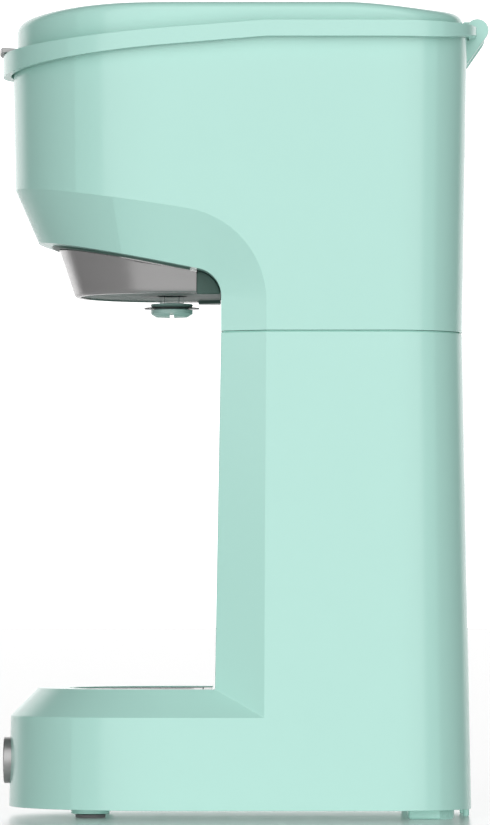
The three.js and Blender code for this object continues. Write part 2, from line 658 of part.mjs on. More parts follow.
// ---------- brew head ----------
const BUCKET_RADIUS = 33.2;
const FLANGE_RADIUS = 44;
const INSERT_HALF_WIDTH = 38;
const INSERT_BACK_Y = -8.4;
const VISOR_BACK_Y = -17;
const EAR_INNER_X = 16;
const EAR_OUTER_X = 22;
const PIN_HOLE_RADIUS = 1.8;

function hingeEars() {
  const shape = new THREE.Shape();
  shape.moveTo(78.4, 272.2);
  shape.lineTo(81.4, 274.2);
  shape.absarc(HINGE_Y, HINGE_Z, 4.1, -0.65, Math.PI, false);
  shape.lineTo(HINGE_Y - 4.1, 284);
  shape.lineTo(79.4, 282);
  return [-1, 1].map((side) => {
    const [x0, x1] = side < 0 ? [-EAR_OUTER_X, -EAR_INNER_X] : [EAR_INNER_X, EAR_OUTER_X];
    return across(shape, x0, x1, 10);
  });
}

function upperHousing() {
  const bottom = SEAM_Z + SEAM_GAP / 2;
  const outside = loft([planRing(upperRadius(bottom), bottom), planRing(TOP_RADIUS, headTopZ)]);
  const inside = loft([planRing(upperRadius(bottom) - WALL, bottom - 1), planRing(TOP_RADIUS - WALL, 300)]);
  const cavity = cut(inside, bayBehindWall);
  const mouth = bar(BUCKET_RADIUS + 0.5, INNER_FILLET.z, 240, 0, BREW_Y, 36);
  const pinHole = barX(PIN_HOLE_RADIUS, -EAR_OUTER_X + 1, EAR_OUTER_X - 1, HINGE_Y, HINGE_Z, 12);
  return cut(join(cut(outside, bay), ...hingeEars()), cavity, mouth, pinHole);
}

// Slab that lies under the sloping ceiling of the bay, from one depth to another below it.
function ceilingSlab(near, far) {
  const [front, back] = [-90, 40];
  return across(
    polygon([
      [front, ceilingZ(front) - near],
      [front, ceilingZ(front) - far],
      [back, ceilingZ(back) - far],
      [back, ceilingZ(back) - near],
    ]),
    -60,
    60,
  );
}

const shrunkBay = cupBay(-GAP);

function funnelHousing() {
  const bucket = bar(BUCKET_RADIUS, BUCKET_Z, 262, 0, BREW_Y, 36);
  const flangeShape = halfRound(FLANGE_RADIUS, BREW_Y, -6);
  const flange = upright(flangeShape, 180, 240).intersect(ceilingSlab(GAP, 1.1)).intersect(shrunkBay);
  const rearBlock = block(-INSERT_HALF_WIDTH, INSERT_HALF_WIDTH, VISOR_BACK_Y + GAP, 0, BUCKET_Z - 1.1, 206);
  const insert = rearBlock.intersect(shrunkBay).intersect(ceilingSlab(GAP, 60));
  const hollow = bar(BUCKET_RADIUS - 1.8, BUCKET_Z + 1.8, 270, 0, BREW_Y, 36);
  return cut(join(bucket, flange, insert), hollow, bar(5.6, 180, 200, 0, BREW_Y, 24));
}

// Half-round visor that narrows downward, closed underneath by an inward lip.
function visor() {
  const low = BUCKET_Z - 0.5;
  const levels = [[35, low], [35.8, low + 0.7], [36.3, low + 2.1], [42.4, 210.5]];
  const shell = (thickness) => {
    const profile = levels.map(([radius, z]) => [radius - thickness, z]);
    const round = turned(profile, 0, BREW_Y, 48).intersect(block(-60, 60, -90, BREW_Y, 150, 250));
    const straight = new THREE.Shape();
    straight.moveTo(-profile[0][0], profile[0][1]);
    for (const [radius, z] of profile) straight.lineTo(-radius, z);
    for (const [radius, z] of [...profile].reverse()) straight.lineTo(radius, z);
    const run = { depth: VISOR_BACK_Y - BREW_Y, bevelEnabled: false };
    const geometry = new THREE.ExtrudeGeometry(straight, run);
    geometry.rotateX(Math.PI / 2);
    geometry.translate(0, VISOR_BACK_Y, 0);
    return join(round, solid(geometry));
  };
  const under = upright(halfRound(60, BREW_Y, 0), 180, 260).intersect(ceilingSlab(1.1 + GAP, 60));
  const bore = bar(BUCKET_RADIUS + GAP, 180, 260, 0, BREW_Y, 36);
  const behind = block(-33, 33, BREW_Y, 0, 180, 260);
  return cut(shell(0).intersect(under), bore, behind, cut(shell(1.6), bar(60, 180, low + 1.6, 0, BREW_Y, 12)));
}

function brewBasket() {
  const profile = [[29.8, BUCKET_Z + 2.4], [30.6, 262.6], [30.6, 268.7], [33.2, 268.7], [33.2, 270.2]];
  const outside = turned(profile, 0, BREW_Y, 36);
  const inside = turned([[6, BUCKET_Z + 4.4], [26.4, 200], [28.8, 262], [28.8, 272]], 0, BREW_Y, 36);
  return cut(outside, inside, bar(5.6, 180, 202, 0, BREW_Y, 24));
}

function podHolder() {
  const outside = turned([[22, 206], [25.4, 262], [25.4, 270.6], [30, 270.6], [30, 271.8]], 0, BREW_Y, 30);
  const inside = turned([[20.4, 207.6], [23.8, 262], [23.8, 274]], 0, BREW_Y, 30);
  const drain = [0, 1, 2, 3].map((i) => {
    const turn = (i * Math.PI) / 2;
    return bar(2, 200, 212, 12 * Math.cos(turn), BREW_Y + 12 * Math.sin(turn), 10);
  });
  return cut(outside, inside, bar(2.3, 200, 215, 0, BREW_Y, 12), ...drain);
}

add("upper_housing", upperHousing(), "mint");
add("funnel_housing", funnelHousing(), "insert");
add("basket_trim", visor(), "satin");
add("brew_basket", brewBasket(), "black");
add("pod_holder", podHolder(), "smoke");
add("lower_needle", turned([[4, 204], [4, 205.7], [2, 205.7], [2, 212], [0.4, 219]], 0, BREW_Y, 14), "steel");

// ---------- nozzle ----------
function nozzle() {
  const body = turned(
    [
      [5.8, 183.1],
      [7.7, 184.3],
      [7.7, 185.75],
      [6, 185.75],
      [6, 186.8],
      [7.4, 186.8],
      [7.8, 187.9],
      [4.4, 188.1],
      [4.4, BUCKET_Z + 2.1],
    ],
    0,
    BREW_Y,
    32,
  );
  const slots = [
    block(-9, 9, BREW_Y - 0.8, BREW_Y + 0.8, 180, 184.3),
    block(-0.8, 0.8, BREW_Y - 9, BREW_Y + 9, 180, 184.3),
  ];
  return cut(body, ...slots, bar(2.6, 180, 200, 0, BREW_Y, 16));
}

add("drip_nozzle", nozzle(), "insert");
const flangeDisc = bar(10.2, 186.05, 186.5, 0, BREW_Y, 32);
add("nozzle_flange", cut(flangeDisc, bar(6.3, 180, 190, 0, BREW_Y, 24)), "black");

// ---------- inner deck ----------
function innerDeck() {
  const plate = planBlock(TOP_RADIUS - WALL - 0.9, DECK_Z, DECK_Z + DECK_THICKNESS);
  const basketHole = bar(31, 250, 280, 0, BREW_Y, 36);
  const fillShape = new THREE.Shape();
  fillShape.moveTo(-40, 26);
  fillShape.lineTo(40, 26);
  fillShape.lineTo(40, 52);
  fillShape.absarc(26, 52, 14, 0, Math.PI / 2, false);
  fillShape.lineTo(-26, 66);
  fillShape.absarc(-26, 52, 14, Math.PI / 2, Math.PI, false);
  return cut(plate, basketHole, upright(fillShape, 250, 280), bar(4.4, 250, 280, 0, RISER_Y, 16));
}

add("inner_deck", innerDeck(), "black");
const spout = turned([[STUB_RADIUS, 254], [STUB_RADIUS, 264.8], [4, 264.8], [4, 271]], 0, RISER_Y, 16);
add("outlet_spout", cut(spout, bar(1.9, 250, 275, 0, RISER_Y, 12)), "black");
const spoutSeal = cut(bar(5.6, 268.8, 271.8, 0, RISER_Y, 16), bar(4.3, 260, 275, 0, RISER_Y, 16));
add("spout_seal", spoutSeal, "silicone");

// ---------- lid ----------
const LINER_Z = 277.2;
const LINER_THICKNESS = 1.6;
const KNUCKLE_RADIUS = 3.6;

function lidCover() {
  const rim = loft([planRing(RIM_RADIUS, rimBottomZ), planRing(RIM_RADIUS, rimTopZ)]);
  const rings = [planRing(DOME_RADIUS, (y) => rimTopZ(y) - 1)];
  for (let i = 0; i <= 4; i += 1) {
    const turn = (i / 4) * (Math.PI / 2);
    const inset = DOME_EDGE * (1 - Math.cos(turn));
    rings.push(planRing(DOME_RADIUS - inset, (y) => domeZ(y) - DOME_EDGE + DOME_EDGE * Math.sin(turn)));
  }
  const dome = loft(rings);
  const skirt = loft([planRing(SKIRT_RADIUS, 262), planRing(SKIRT_RADIUS, (y) => headTopZ(y) + SKIRT_GAP)]);
  const innerRadius = DOME_RADIUS - LID_WALL;
  const underDome = loft([planRing(innerRadius, 262), planRing(innerRadius, (y) => domeZ(y) - LID_WALL)]);
  const knuckleShape = new THREE.Shape();
  knuckleShape.moveTo(78, 284);
  knuckleShape.lineTo(HINGE_Y, HINGE_Z - KNUCKLE_RADIUS);
  knuckleShape.absarc(HINGE_Y, HINGE_Z, KNUCKLE_RADIUS, -Math.PI / 2, Math.PI / 2, false);
  knuckleShape.lineTo(78, HINGE_Z + KNUCKLE_RADIUS);
  const knuckle = across(knuckleShape, -EAR_INNER_X + 0.4, EAR_INNER_X - 0.4, 10);
  const notches = [-1, 1].map((side) => {
    const [x0, x1] = [side * (EAR_INNER_X - 0.4), side * (EAR_OUTER_X + 0.4)];
    return block(Math.min(x0, x1), Math.max(x0, x1), 80.4, 92, 270, 296);
  });
  const shell = cut(join(rim, dome), ...notches);
  return cut(join(shell, knuckle), skirt, underDome, barX(PIN_HOLE_RADIUS, -30, 30, HINGE_Y, HINGE_Z, 12));
}

const TAB_HALF_ANGLE = 0.19;
const TAB_TOP_Z = 281.7;

function liftTab() {
  const shape = new THREE.Shape();
  const inner = DOME_RADIUS + GAP;
  const outer = RIM_RADIUS + 1.3;
  const start = 1.5 * Math.PI - TAB_HALF_ANGLE;
  shape.absarc(0, FRONT_ARC_Y, outer, start, start + 2 * TAB_HALF_ANGLE, false);
  shape.absarc(0, FRONT_ARC_Y, inner, start + 2 * TAB_HALF_ANGLE, start, true);
  const underTab = loft([planRing(70, 260), planRing(70, (y) => rimTopZ(y) + GAP)]);
  return cut(upright(shape, rimTopZ(FRONT_ARC_Y - outer), TAB_TOP_Z, 8), underTab);
}

add("lid_cover", lidCover(), "mint");
add("lid_tab", liftTab(), "silver");
const liner = planBlock(DOME_RADIUS - LID_WALL - 0.6, LINER_Z, LINER_Z + LINER_THICKNESS);
add("lid_liner", cut(liner, bar(2.2, 270, 285, 0, BREW_Y, 14), bar(2.2, 270, 285, 0, RISER_Y, 14)), "black");
const linerBelow = LINER_Z - GAP;
const gasketDisc = bar(32.6, 272.2, linerBelow, 0, BREW_Y, 30);
add("brew_gasket", cut(gasketDisc, bar(30.2, 270, 280, 0, BREW_Y, 30)), "silicone");
const needleHolder = turned([[7, 266], [9, 268], [9, linerBelow]], 0, BREW_Y, 20);
add("needle_holder", cut(needleHolder, bar(1.9, 260, 280, 0, BREW_Y, 12)), "black");
add("upper_needle", turned([[0.3, 252], [1.5, 257], [1.5, linerBelow]], 0, BREW_Y, 12), "steel");
const inletSeal = turned([[5.6, 272.2], [5.6, linerBelow]], 0, RISER_Y, 16);
add("lid_inlet_seal", cut(inletSeal, bar(1.8, 265, 280, 0, RISER_Y, 12)), "silicone");

const lidTubeZ = LINER_Z + LINER_THICKNESS + 2 * GAP;
const lidTubeRoute = new THREE.CatmullRomCurve3([
  new THREE.Vector3(0, RISER_Y, lidTubeZ),
  new THREE.Vector3(0, RISER_Y, 281),
  new THREE.Vector3(0, RISER_Y - 0.8, 283),
  new THREE.Vector3(0, RISER_Y - 5, 286),
  new THREE.Vector3(0, (RISER_Y + BREW_Y) / 2, 286.6),
  new THREE.Vector3(0, BREW_Y + 5, 286),
  new THREE.Vector3(0, BREW_Y + 0.8, 283),
  new THREE.Vector3(0, BREW_Y, 281),
  new THREE.Vector3(0, BREW_Y, lidTubeZ),
]);
add("lid_water_tube", tube(lidTubeRoute, 3, 1.8, 22, 10), "silicone");
add("hinge_pin", barX(1.5, -EAR_OUTER_X + 1.3, EAR_OUTER_X - 1.3, HINGE_Y, HINGE_Z, 16), "steel");

export default group;
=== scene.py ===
"""Looks of a single-serve drip coffee maker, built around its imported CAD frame.

Metres in Blender; shapes are worked out in millimetres, +Z up, front at -Y, as in the CAD model.
"""
import math

import bmesh
import bpy
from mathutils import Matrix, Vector


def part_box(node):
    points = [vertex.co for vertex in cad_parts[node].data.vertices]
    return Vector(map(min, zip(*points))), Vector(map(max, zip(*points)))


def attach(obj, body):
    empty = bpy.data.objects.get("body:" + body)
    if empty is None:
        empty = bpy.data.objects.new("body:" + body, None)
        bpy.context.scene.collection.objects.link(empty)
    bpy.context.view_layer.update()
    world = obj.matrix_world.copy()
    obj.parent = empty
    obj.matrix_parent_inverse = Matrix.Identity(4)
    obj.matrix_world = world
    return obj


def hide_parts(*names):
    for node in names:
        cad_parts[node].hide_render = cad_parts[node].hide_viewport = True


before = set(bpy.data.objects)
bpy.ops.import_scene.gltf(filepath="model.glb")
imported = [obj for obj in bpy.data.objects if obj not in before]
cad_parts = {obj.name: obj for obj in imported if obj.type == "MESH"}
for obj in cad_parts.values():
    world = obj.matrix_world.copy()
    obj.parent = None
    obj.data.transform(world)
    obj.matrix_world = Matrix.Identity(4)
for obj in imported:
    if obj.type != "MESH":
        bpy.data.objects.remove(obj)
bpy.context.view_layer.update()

MM = 0.001


def cad_mm(node):
    """Lowest and highest corner of a CAD node, in millimetres."""
    low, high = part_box(node)
    return [c / MM for c in low], [c / MM for c in high]


# ---------- driving dimensions, in millimetres ----------
LOWER_HIGH = cad_mm("lower_housing")[1]
UPPER_LOW, UPPER_HIGH = cad_mm("upper_housing")
LID_HIGH = cad_mm("lid_cover")[1]
NOZZLE_LOW, NOZZLE_HIGH = cad_mm("drip_nozzle")
CAP_LOW = cad_mm("button_cap")[0]
BEZEL_LOW, BEZEL_HIGH = cad_mm("button_bezel")
TRAY_HIGH = cad_mm("drip_tray")[1]
PIN_LOW, PIN_HIGH = cad_mm("hinge_pin")

WALL = 2.4                        # shell thickness of the housings
GAP = 0.3
ARC_Y = -25.0                     # centre of the plan's round front
CORNER_X = 31.0                   # centres of the rear corner arcs
CORNER_Y = 52.3
BREAK_Y = 8.0                     # where the lid's rim stops sloping
BASE_Z = 3.4
BASE_RADIUS = LOWER_HIGH[0]
SEAM_Z = (LOWER_HIGH[2] + UPPER_LOW[2]) / 2
WAIST_RADIUS = 58.1
TOP_Z = 281.0
TOP_RADIUS = UPPER_HIGH[0]

PLATFORM_Z = 46.7
BAY_RADIUS = 50.5                 # inner edge of the bevel round the cup bay
BEVEL_BASE_Z = 36.6
BEVEL_BASE_Y = 7.5
BEVEL_HEAD_Y = 8.2
COLUMN_BASE_Y = -10.3
COLUMN_TOP_Y = -8.1
INNER_FILLET = (-18.1, 188.5, 10.0)    # centre y, centre z, radius
OUTER_FILLET = (-25.8, 186.0, 34.0)
CEILING_FRONT = (-75.5, 210.5, -0.2)   # y, z, slope
BEVEL_FRONT = (-83.7, 230.1, -0.16)

RIM_RADIUS = LID_HIGH[0]
SKIRT_RADIUS = 60.8
DOME_RADIUS = 58.4
DOME_EDGE = 3.5
LID_WALL = 2.4
HEAD_REAR_Z = 284.4
DOME_TOP_Z = LID_HIGH[2]
HINGE_Y = (PIN_LOW[1] + PIN_HIGH[1]) / 2
HINGE_Z = (PIN_LOW[2] + PIN_HIGH[2]) / 2
EAR_INNER_X = 16.0
EAR_OUTER_X = 22.0
PIN_HOLE_RADIUS = 1.8
SKIRT_OVERLAP = 3.3               # how far the head reaches up inside the lid's skirt

BREW_Y = (NOZZLE_LOW[1] + NOZZLE_HIGH[1]) / 2
BUTTON_Z = (BEZEL_LOW[2] + BEZEL_HIGH[2]) / 2
TRAY_Y = -20.0
TRAY_BACK_Y = -13.0
TRAY_RADIUS = 43.0
LIP_TOP_Z = TRAY_HIGH[2]
LIP_Z = LIP_TOP_Z - 0.8
FOOT_X = 28.0
FOOT_Y = -55.6
GLAND_Z = 14.0

ARC_STEPS = 72
SIDE_STEPS = 2
REAR_STEPS = 10
CORNER_STEPS = 18


def lerp(a, b, t):
    return a + (b - a) * t


def remap(value, low, high, to_low, to_high):
    return lerp(to_low, to_high, (value - low) / (high - low))


def smoothstep(value, low, high):
    t = min(max((value - low) / (high - low), 0.0), 1.0)
    return t * t * (3 - 2 * t)


def lower_radius(z):
    return remap(z, BASE_Z, SEAM_Z, BASE_RADIUS, WAIST_RADIUS)


def upper_radius(z):
    return remap(z, SEAM_Z, TOP_Z, WAIST_RADIUS, TOP_RADIUS)


def ceiling_z(y):
    return CEILING_FRONT[1] + CEILING_FRONT[2] * (y - CEILING_FRONT[0])


def bevel_z(y):
    return BEVEL_FRONT[1] + BEVEL_FRONT[2] * (y - BEVEL_FRONT[0])


def rim_bottom_z(y):
    if y > BREAK_Y:
        return 281.1 + 2.9 * max(0.0, (y - CORNER_Y) / (RIM_RADIUS - CORNER_X)) ** 4
    drop = 1.8 * max(0.0, (ARC_Y - y) / RIM_RADIUS) ** 3
    return remap(y, -87, BREAK_Y, 273.3, 281.1) - drop


def rim_top_z(y):
    return remap(y, -88.3, BREAK_Y, 279.5, 286.9) if y < BREAK_Y else 286.9


def head_top_z(y):
    overlap = SKIRT_OVERLAP - 3.1 * smoothstep(y, 58, 78)
    return min(rim_bottom_z(y) + overlap, HEAD_REAR_Z)


def dome_z(y):
    front = max(0.0, -40 - y) / 40
    return DOME_TOP_Z - 2.6 * front ** 2 - 2.6 * smoothstep(y, 36, 72)


# ---------- mesh building ----------
def height_at(height, y):
    return height(y) if callable(height) else height


def front_path(radius, start_y, height, centre_y=ARC_Y):
    """From the right side forward, round the front and back along the left side."""
    flat = []
    reach = radius(height_at(height, centre_y)) if callable(radius) else radius
    for i in range(SIDE_STEPS):
        flat.append((1.0, 0.0, lerp(start_y, centre_y, i / SIDE_STEPS)))
    for i in range(ARC_STEPS + 1):
        turn = math.pi * (0.5 - i / ARC_STEPS)
        flat.append((math.sin(turn), -math.cos(turn), centre_y))
    for i in range(1, SIDE_STEPS + 1):
        flat.append((-1.0, 0.0, lerp(centre_y, start_y, i / SIDE_STEPS)))
    path = []
    for across, along, y in flat:
        z = height_at(height, y + reach * along)
        r = radius(z) if callable(radius) else radius
        path.append((across * r, y + along * r, z))
    return path


def rear_path(radius, start_y, height):
    """From the left side round the rear and forward along the right side."""
    reach = radius(height_at(height, start_y)) if callable(radius) else radius
    corner = reach - CORNER_X
    half = []
    for i in range(REAR_STEPS):
        half.append((reach, lerp(start_y, CORNER_Y, i / REAR_STEPS)))
    for i in range(CORNER_STEPS + 1):
        turn = i / CORNER_STEPS * math.pi / 2
        half.append((CORNER_X + corner * math.cos(turn), CORNER_Y + corner * math.sin(turn)))
    for i in range(1, 4):
        half.append((CORNER_X * (1 - i / 4), CORNER_Y + corner))
    centre = [(0.0, CORNER_Y + corner)]
    flat = [(-x, y) for x, y in half] + centre + list(reversed(half))
    return [(x, y, height_at(height, y)) for x, y in flat]


def ring(radius, height, start_y=BREAK_Y):
    return front_path(radius, start_y, height) + rear_path(radius, start_y, height)


def link(name, mesh):
    obj = bpy.data.objects.new(name, mesh)
    bpy.context.scene.collection.objects.link(obj)
    return obj


class Skin:
    """Collects strips of faces between loops of points, in millimetres, and merges them into one mesh."""

    def __init__(self):
        self.bm = bmesh.new()

    def verts(self, loop):
        return [self.bm.verts.new(Vector(p) * MM) for p in loop]

    def strip(self, loops, closed=True):
        rows = [self.verts(loop) for loop in loops]
        for a, b in zip(rows, rows[1:]):
            for i in range(len(a) if closed else len(a) - 1):
                j = (i + 1) % len(a)
                self.bm.faces.new((a[i], a[j], b[j], b[i]))
        return self

    def zip_cap(self, loop):
        """Closes a mirror-symmetric loop with bands across in x, and one face at its straight rear."""
        row = self.verts(loop)
        count = len(row)
        front = min(range(count), key=lambda i: loop[i][1])
        rear_y = max(point[1] for point in loop)
        step = 0
        while loop[(front + step + 1) % count][1] < rear_y - 0.001:
            near = row[(front + step) % count], row[(front - step) % count]
            far = row[(front - step - 1) % count], row[(front + step + 1) % count]
            self.bm.faces.new(dict.fromkeys((*near, *far)))
            step += 1
        self.bm.faces.new([row[(front + i) % count] for i in range(step, count - step + 1)])
        return self

    def face(self, loop):
        self.bm.faces.new(self.verts(loop))
        return self

    def fan(self, loop, centre):
        row = self.verts(loop)
        hub = self.bm.verts.new(Vector(centre) * MM)
        for i, vert in enumerate(row):
            self.bm.faces.new((vert, row[(i + 1) % len(row)], hub))
        return self

    def build(self, name):
        bmesh.ops.remove_doubles(self.bm, verts=self.bm.verts, dist=0.004 * MM)
        bmesh.ops.dissolve_degenerate(self.bm, edges=self.bm.edges, dist=0.001 * MM)
        bmesh.ops.recalc_face_normals(self.bm, faces=self.bm.faces)
        mesh = bpy.data.meshes.new(name)
        self.bm.to_mesh(mesh)
        self.bm.free()
        return link(name, mesh)


def lathe(name, profile, x=0.0, y=0.0, steps=96, axis="Z", offset=0.0):
    """Turned piece from a closed (radius, height) profile; axis Y lies the piece down, height along +Y."""
    skin = Skin()
    loops = []
    for radius, height in profile:
        loop = []
        for i in range(steps):
            turn = 2 * math.pi * i / steps
            u, v = radius * math.cos(turn), radius * math.sin(turn)
            if axis == "Z":
                loop.append((x + u, y + v, height))
            elif axis == "Y":
                loop.append((x + u, height, offset + v))
            else:
                loop.append((height, y + u, offset + v))
        loops.append(loop)
    if profile[0] != profile[-1]:
        solid_ends = [loops[0], loops[-1]]
        for loop, (radius, _) in zip(solid_ends, (profile[0], profile[-1])):
            if radius > 0:
                skin.face(loop)
    skin.strip(loops)
    return skin.build(name)


def prism(name, outline, z0, z1, holes=()):
    """Upright prism of an outline, with holes cut through it."""
    skin = Skin()
    skin.strip([[(x, y, z0) for x, y in outline], [(x, y, z1) for x, y in outline]])
    skin.face([(x, y, z0) for x, y in outline])
    skin.face([(x, y, z1) for x, y in outline])
    obj = skin.build(name)
    for hole in holes:
        cut(obj, prism("hole", hole, z0 - 1, z1 + 1))
    return obj


def side_prism(name, outline, x0, x1):
    """Prism of a (y, z) outline, run across from x0 to x1."""
    skin = Skin()
    skin.strip([[(x0, y, z) for y, z in outline], [(x1, y, z) for y, z in outline]])
    skin.face([(x0, y, z) for y, z in outline])
    skin.face([(x1, y, z) for y, z in outline])
    return skin.build(name)


def block(name, x0, x1, y0, y1, z0, z1):
    return prism(name, [(x0, y0), (x1, y0), (x1, y1), (x0, y1)], z0, z1)


def bake(obj):
    """Replaces an object's mesh by what its modifiers make of it."""
    graph = bpy.context.evaluated_depsgraph_get()
    graph.update()
    mesh = bpy.data.meshes.new_from_object(obj.evaluated_get(graph))
    obj.modifiers.clear()
    old = obj.data
    obj.data = mesh
    bpy.data.meshes.remove(old)


def combine(obj, tool, operation):
    modifier = obj.modifiers.new("boolean", "BOOLEAN")
    modifier.operation = operation
    modifier.solver = "EXACT"
    modifier.object = tool
    bake(obj)
    mesh = tool.data
    bpy.data.objects.remove(tool)
    bpy.data.meshes.remove(mesh)
    return obj


def cut(obj, tool):
    return combine(obj, tool, "DIFFERENCE")


def fuse(obj, tool):
    return combine(obj, tool, "UNION")


def keep(obj, tool):
    return combine(obj, tool, "INTERSECT")


def round_edges(obj, width, segments=3, angle=28):
    modifier = obj.modifiers.new("edges", "BEVEL")
    modifier.width = width * MM
    modifier.segments = segments
    modifier.limit_method = "ANGLE"
    modifier.angle_limit = math.radians(angle)
    bake(obj)
    return obj


def smooth(obj, angle=30):
    mesh = obj.data
    mesh.shade_smooth()
    mesh.set_sharp_from_angle(angle=math.radians(angle))
    modifier = obj.modifiers.new("normals", "WEIGHTED_NORMAL")
    modifier.keep_sharp = True
    modifier.weight = 60
    return obj


# ---------- materials ----------
def linear(red, green, blue):
    """Linear colour from 0 to 255 sRGB values."""
    channels = []
    for value in (red, green, blue):
        c = value / 255
        channels.append(c / 12.92 if c <= 0.04045 else ((c + 0.055) / 1.055) ** 2.4)
    return (*channels, 1.0)


def node(tree, kind, **values):
    made = tree.nodes.new(kind)
    for key, value in values.items():
        if hasattr(made, key):
            setattr(made, key, value)
        else:
            made.inputs[key.replace("_", " ")].default_value = value
    return made


def surface(name, colour, roughness, metallic=0.0, grain=0.02, grain_scale=1400.0, spread=0.05,
            variation=0.04, stretch=(1.0, 1.0, 1.0), coat=0.0, transmission=0.0, smear=0.05, ior=1.5):
    """Moulded or metal surface: fine grain in the bump, patchy gloss and a faint colour drift."""
    material = bpy.data.materials.new(name)
    material.use_nodes = True
    tree = material.node_tree
    shader = tree.nodes["Principled BSDF"]
    shader.inputs["Metallic"].default_value = metallic
    shader.inputs["IOR"].default_value = ior
    shader.inputs["Coat Weight"].default_value = coat
    shader.inputs["Coat Roughness"].default_value = 0.12
    shader.inputs["Transmission Weight"].default_value = transmission
    place = node(tree, "ShaderNodeTexCoord")
    mapping = node(tree, "ShaderNodeMapping")
    mapping.inputs["Scale"].default_value = stretch
    tree.links.new(place.outputs["Object"], mapping.inputs["Vector"])

    drift = node(tree, "ShaderNodeTexNoise", Scale=38.0, Detail=3.0, Roughness=0.5)
    tree.links.new(mapping.outputs["Vector"], drift.inputs["Vector"])
    speckle = node(tree, "ShaderNodeTexNoise", Scale=420.0, Detail=2.0, Roughness=0.6)
    tree.links.new(mapping.outputs["Vector"], speckle.inputs["Vector"])
    blend = node(tree, "ShaderNodeMath", operation="MULTIPLY_ADD")
    blend.inputs[1].default_value = 0.25
    tree.links.new(speckle.outputs["Fac"], blend.inputs[0])
    tree.links.new(drift.outputs["Fac"], blend.inputs[2])
    ramp = node(tree, "ShaderNodeValToRGB")
    ramp.color_ramp.elements[0].position = 0.35
    ramp.color_ramp.elements[1].position = 0.9
    for element, factor in zip(ramp.color_ramp.elements, (1 - variation / 2, 1 + variation / 2)):
        element.color = (*[min(c * factor, 1.0) for c in colour[:3]], 1.0)
    tree.links.new(blend.outputs["Value"], ramp.inputs["Fac"])
    tree.links.new(ramp.outputs["Color"], shader.inputs["Base Color"])

    smudge = node(tree, "ShaderNodeTexNoise", Scale=90.0, Detail=4.0, Roughness=0.62)
    tree.links.new(mapping.outputs["Vector"], smudge.inputs["Vector"])
    gloss = node(tree, "ShaderNodeMapRange")
    gloss.inputs["From Min"].default_value = 0.3
    gloss.inputs["From Max"].default_value = 0.7
    gloss.inputs["To Min"].default_value = max(roughness - smear, 0.02)
    gloss.inputs["To Max"].default_value = roughness + spread
    tree.links.new(smudge.outputs["Fac"], gloss.inputs["Value"])
    tree.links.new(gloss.outputs["Result"], shader.inputs["Roughness"])

    texture = node(tree, "ShaderNodeTexNoise", Scale=grain_scale, Detail=2.0, Roughness=0.5)
    tree.links.new(mapping.outputs["Vector"], texture.inputs["Vector"])
    bump = node(tree, "ShaderNodeBump", Strength=grain, Distance=0.0002)
    tree.links.new(texture.outputs["Fac"], bump.inputs["Height"])
    tree.links.new(bump.outputs["Normal"], shader.inputs["Normal"])
    return material


MINT = linear(181, 227, 216)
MATERIALS = {
    "mint": surface("mint_shell", MINT, 0.17, grain=0.02, grain_scale=2200, spread=0.02,
                    smear=0.02, variation=0.006),
    "mint_under": surface("mint_underside", MINT, 0.3, grain=0.08, variation=0.03),
    "black": surface("black_plastic", linear(30, 33, 33), 0.2, grain=0.06, grain_scale=1800,
                     variation=0.2),
    # dark teal insert: the mint shell's hue at well under half its brightness, painted shade standing in for
    # the shadow under the brew head
    "insert": surface("insert_plastic", linear(80, 104, 97), 0.38, grain=0.1, grain_scale=1600,
                      variation=0.1, ior=1.3),
    "nozzle": surface("nozzle_plastic", linear(184, 222, 213), 0.25, grain=0.05, variation=0.08),
    "silver": surface("silver_trim", linear(172, 171, 171), 0.36, 0.75, grain=0.05,
                      grain_scale=900, variation=0.06),
    "visor": surface("satin_visor", linear(214, 212, 212), 0.18, 0.95, grain=0.02,
                     grain_scale=700, spread=0.03, smear=0.02, variation=0.05,
                     stretch=(0.25, 0.25, 3.0)),
    "steel": surface("steel", linear(188, 192, 195), 0.28, 1.0, grain=0.05, variation=0.06,
                     stretch=(1, 1, 4)),
    "rubber": surface("foot_rubber", linear(112, 108, 110), 0.72, grain=0.3, grain_scale=900,
                      variation=0.12),
    "silicone": surface("silicone", linear(216, 212, 203), 0.5, grain=0.08, variation=0.04),
    "clear": surface("clear_silicone", linear(250, 252, 251), 0.06, grain=0.02, variation=0.01,
                     transmission=1.0, ior=1.08),
    "smoke": surface("smoked_plastic", linear(86, 98, 96), 0.14, grain=0.02, variation=0.05,
                     coat=0.3),
    "aluminium": surface("cast_aluminium", linear(170, 173, 175), 0.46, 1.0, grain=0.35,
                         grain_scale=500, variation=0.1),
    "board": surface("circuit_board", linear(40, 98, 62), 0.4, grain=0.1, grain_scale=350,
                     variation=0.25),
    "bakelite": surface("brown_bakelite", linear(72, 50, 38), 0.45, grain=0.12, variation=0.2),
}


def dress(obj, material):
    obj.data.materials.clear()
    obj.data.materials.append(MATERIALS[material])
    return obj


def piece(obj, material, slot, body, *nodes):
    """Hands a finished piece to the frame: its finish, its body and the CAD nodes it stands for."""
    smooth(obj)
    dress(obj, material)
    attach(obj, body)
    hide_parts(*nodes)
    return obj


# ---------- lower housing ----------
def corner_row(inset_x, y):
    """The two inner corners of the column's flat face."""
    return [(inset_x, y), (-inset_x, y)]


def column_row(s, z):
    """Outline of the column at one height, moved inward by s."""
    t = (z - PLATFORM_Z) / (LOWER_HIGH[2] - PLATFORM_Z)
    face_y = lerp(COLUMN_BASE_Y, COLUMN_TOP_Y, t) + s
    side_y = lerp(BEVEL_BASE_Y, BEVEL_HEAD_Y, t) + 0.35 * s
    corners = [(x, y, z) for x, y in corner_row(BAY_RADIUS - 0.58 * s, face_y)]
    return corners + rear_path(lower_radius(z) - s, side_y, z)


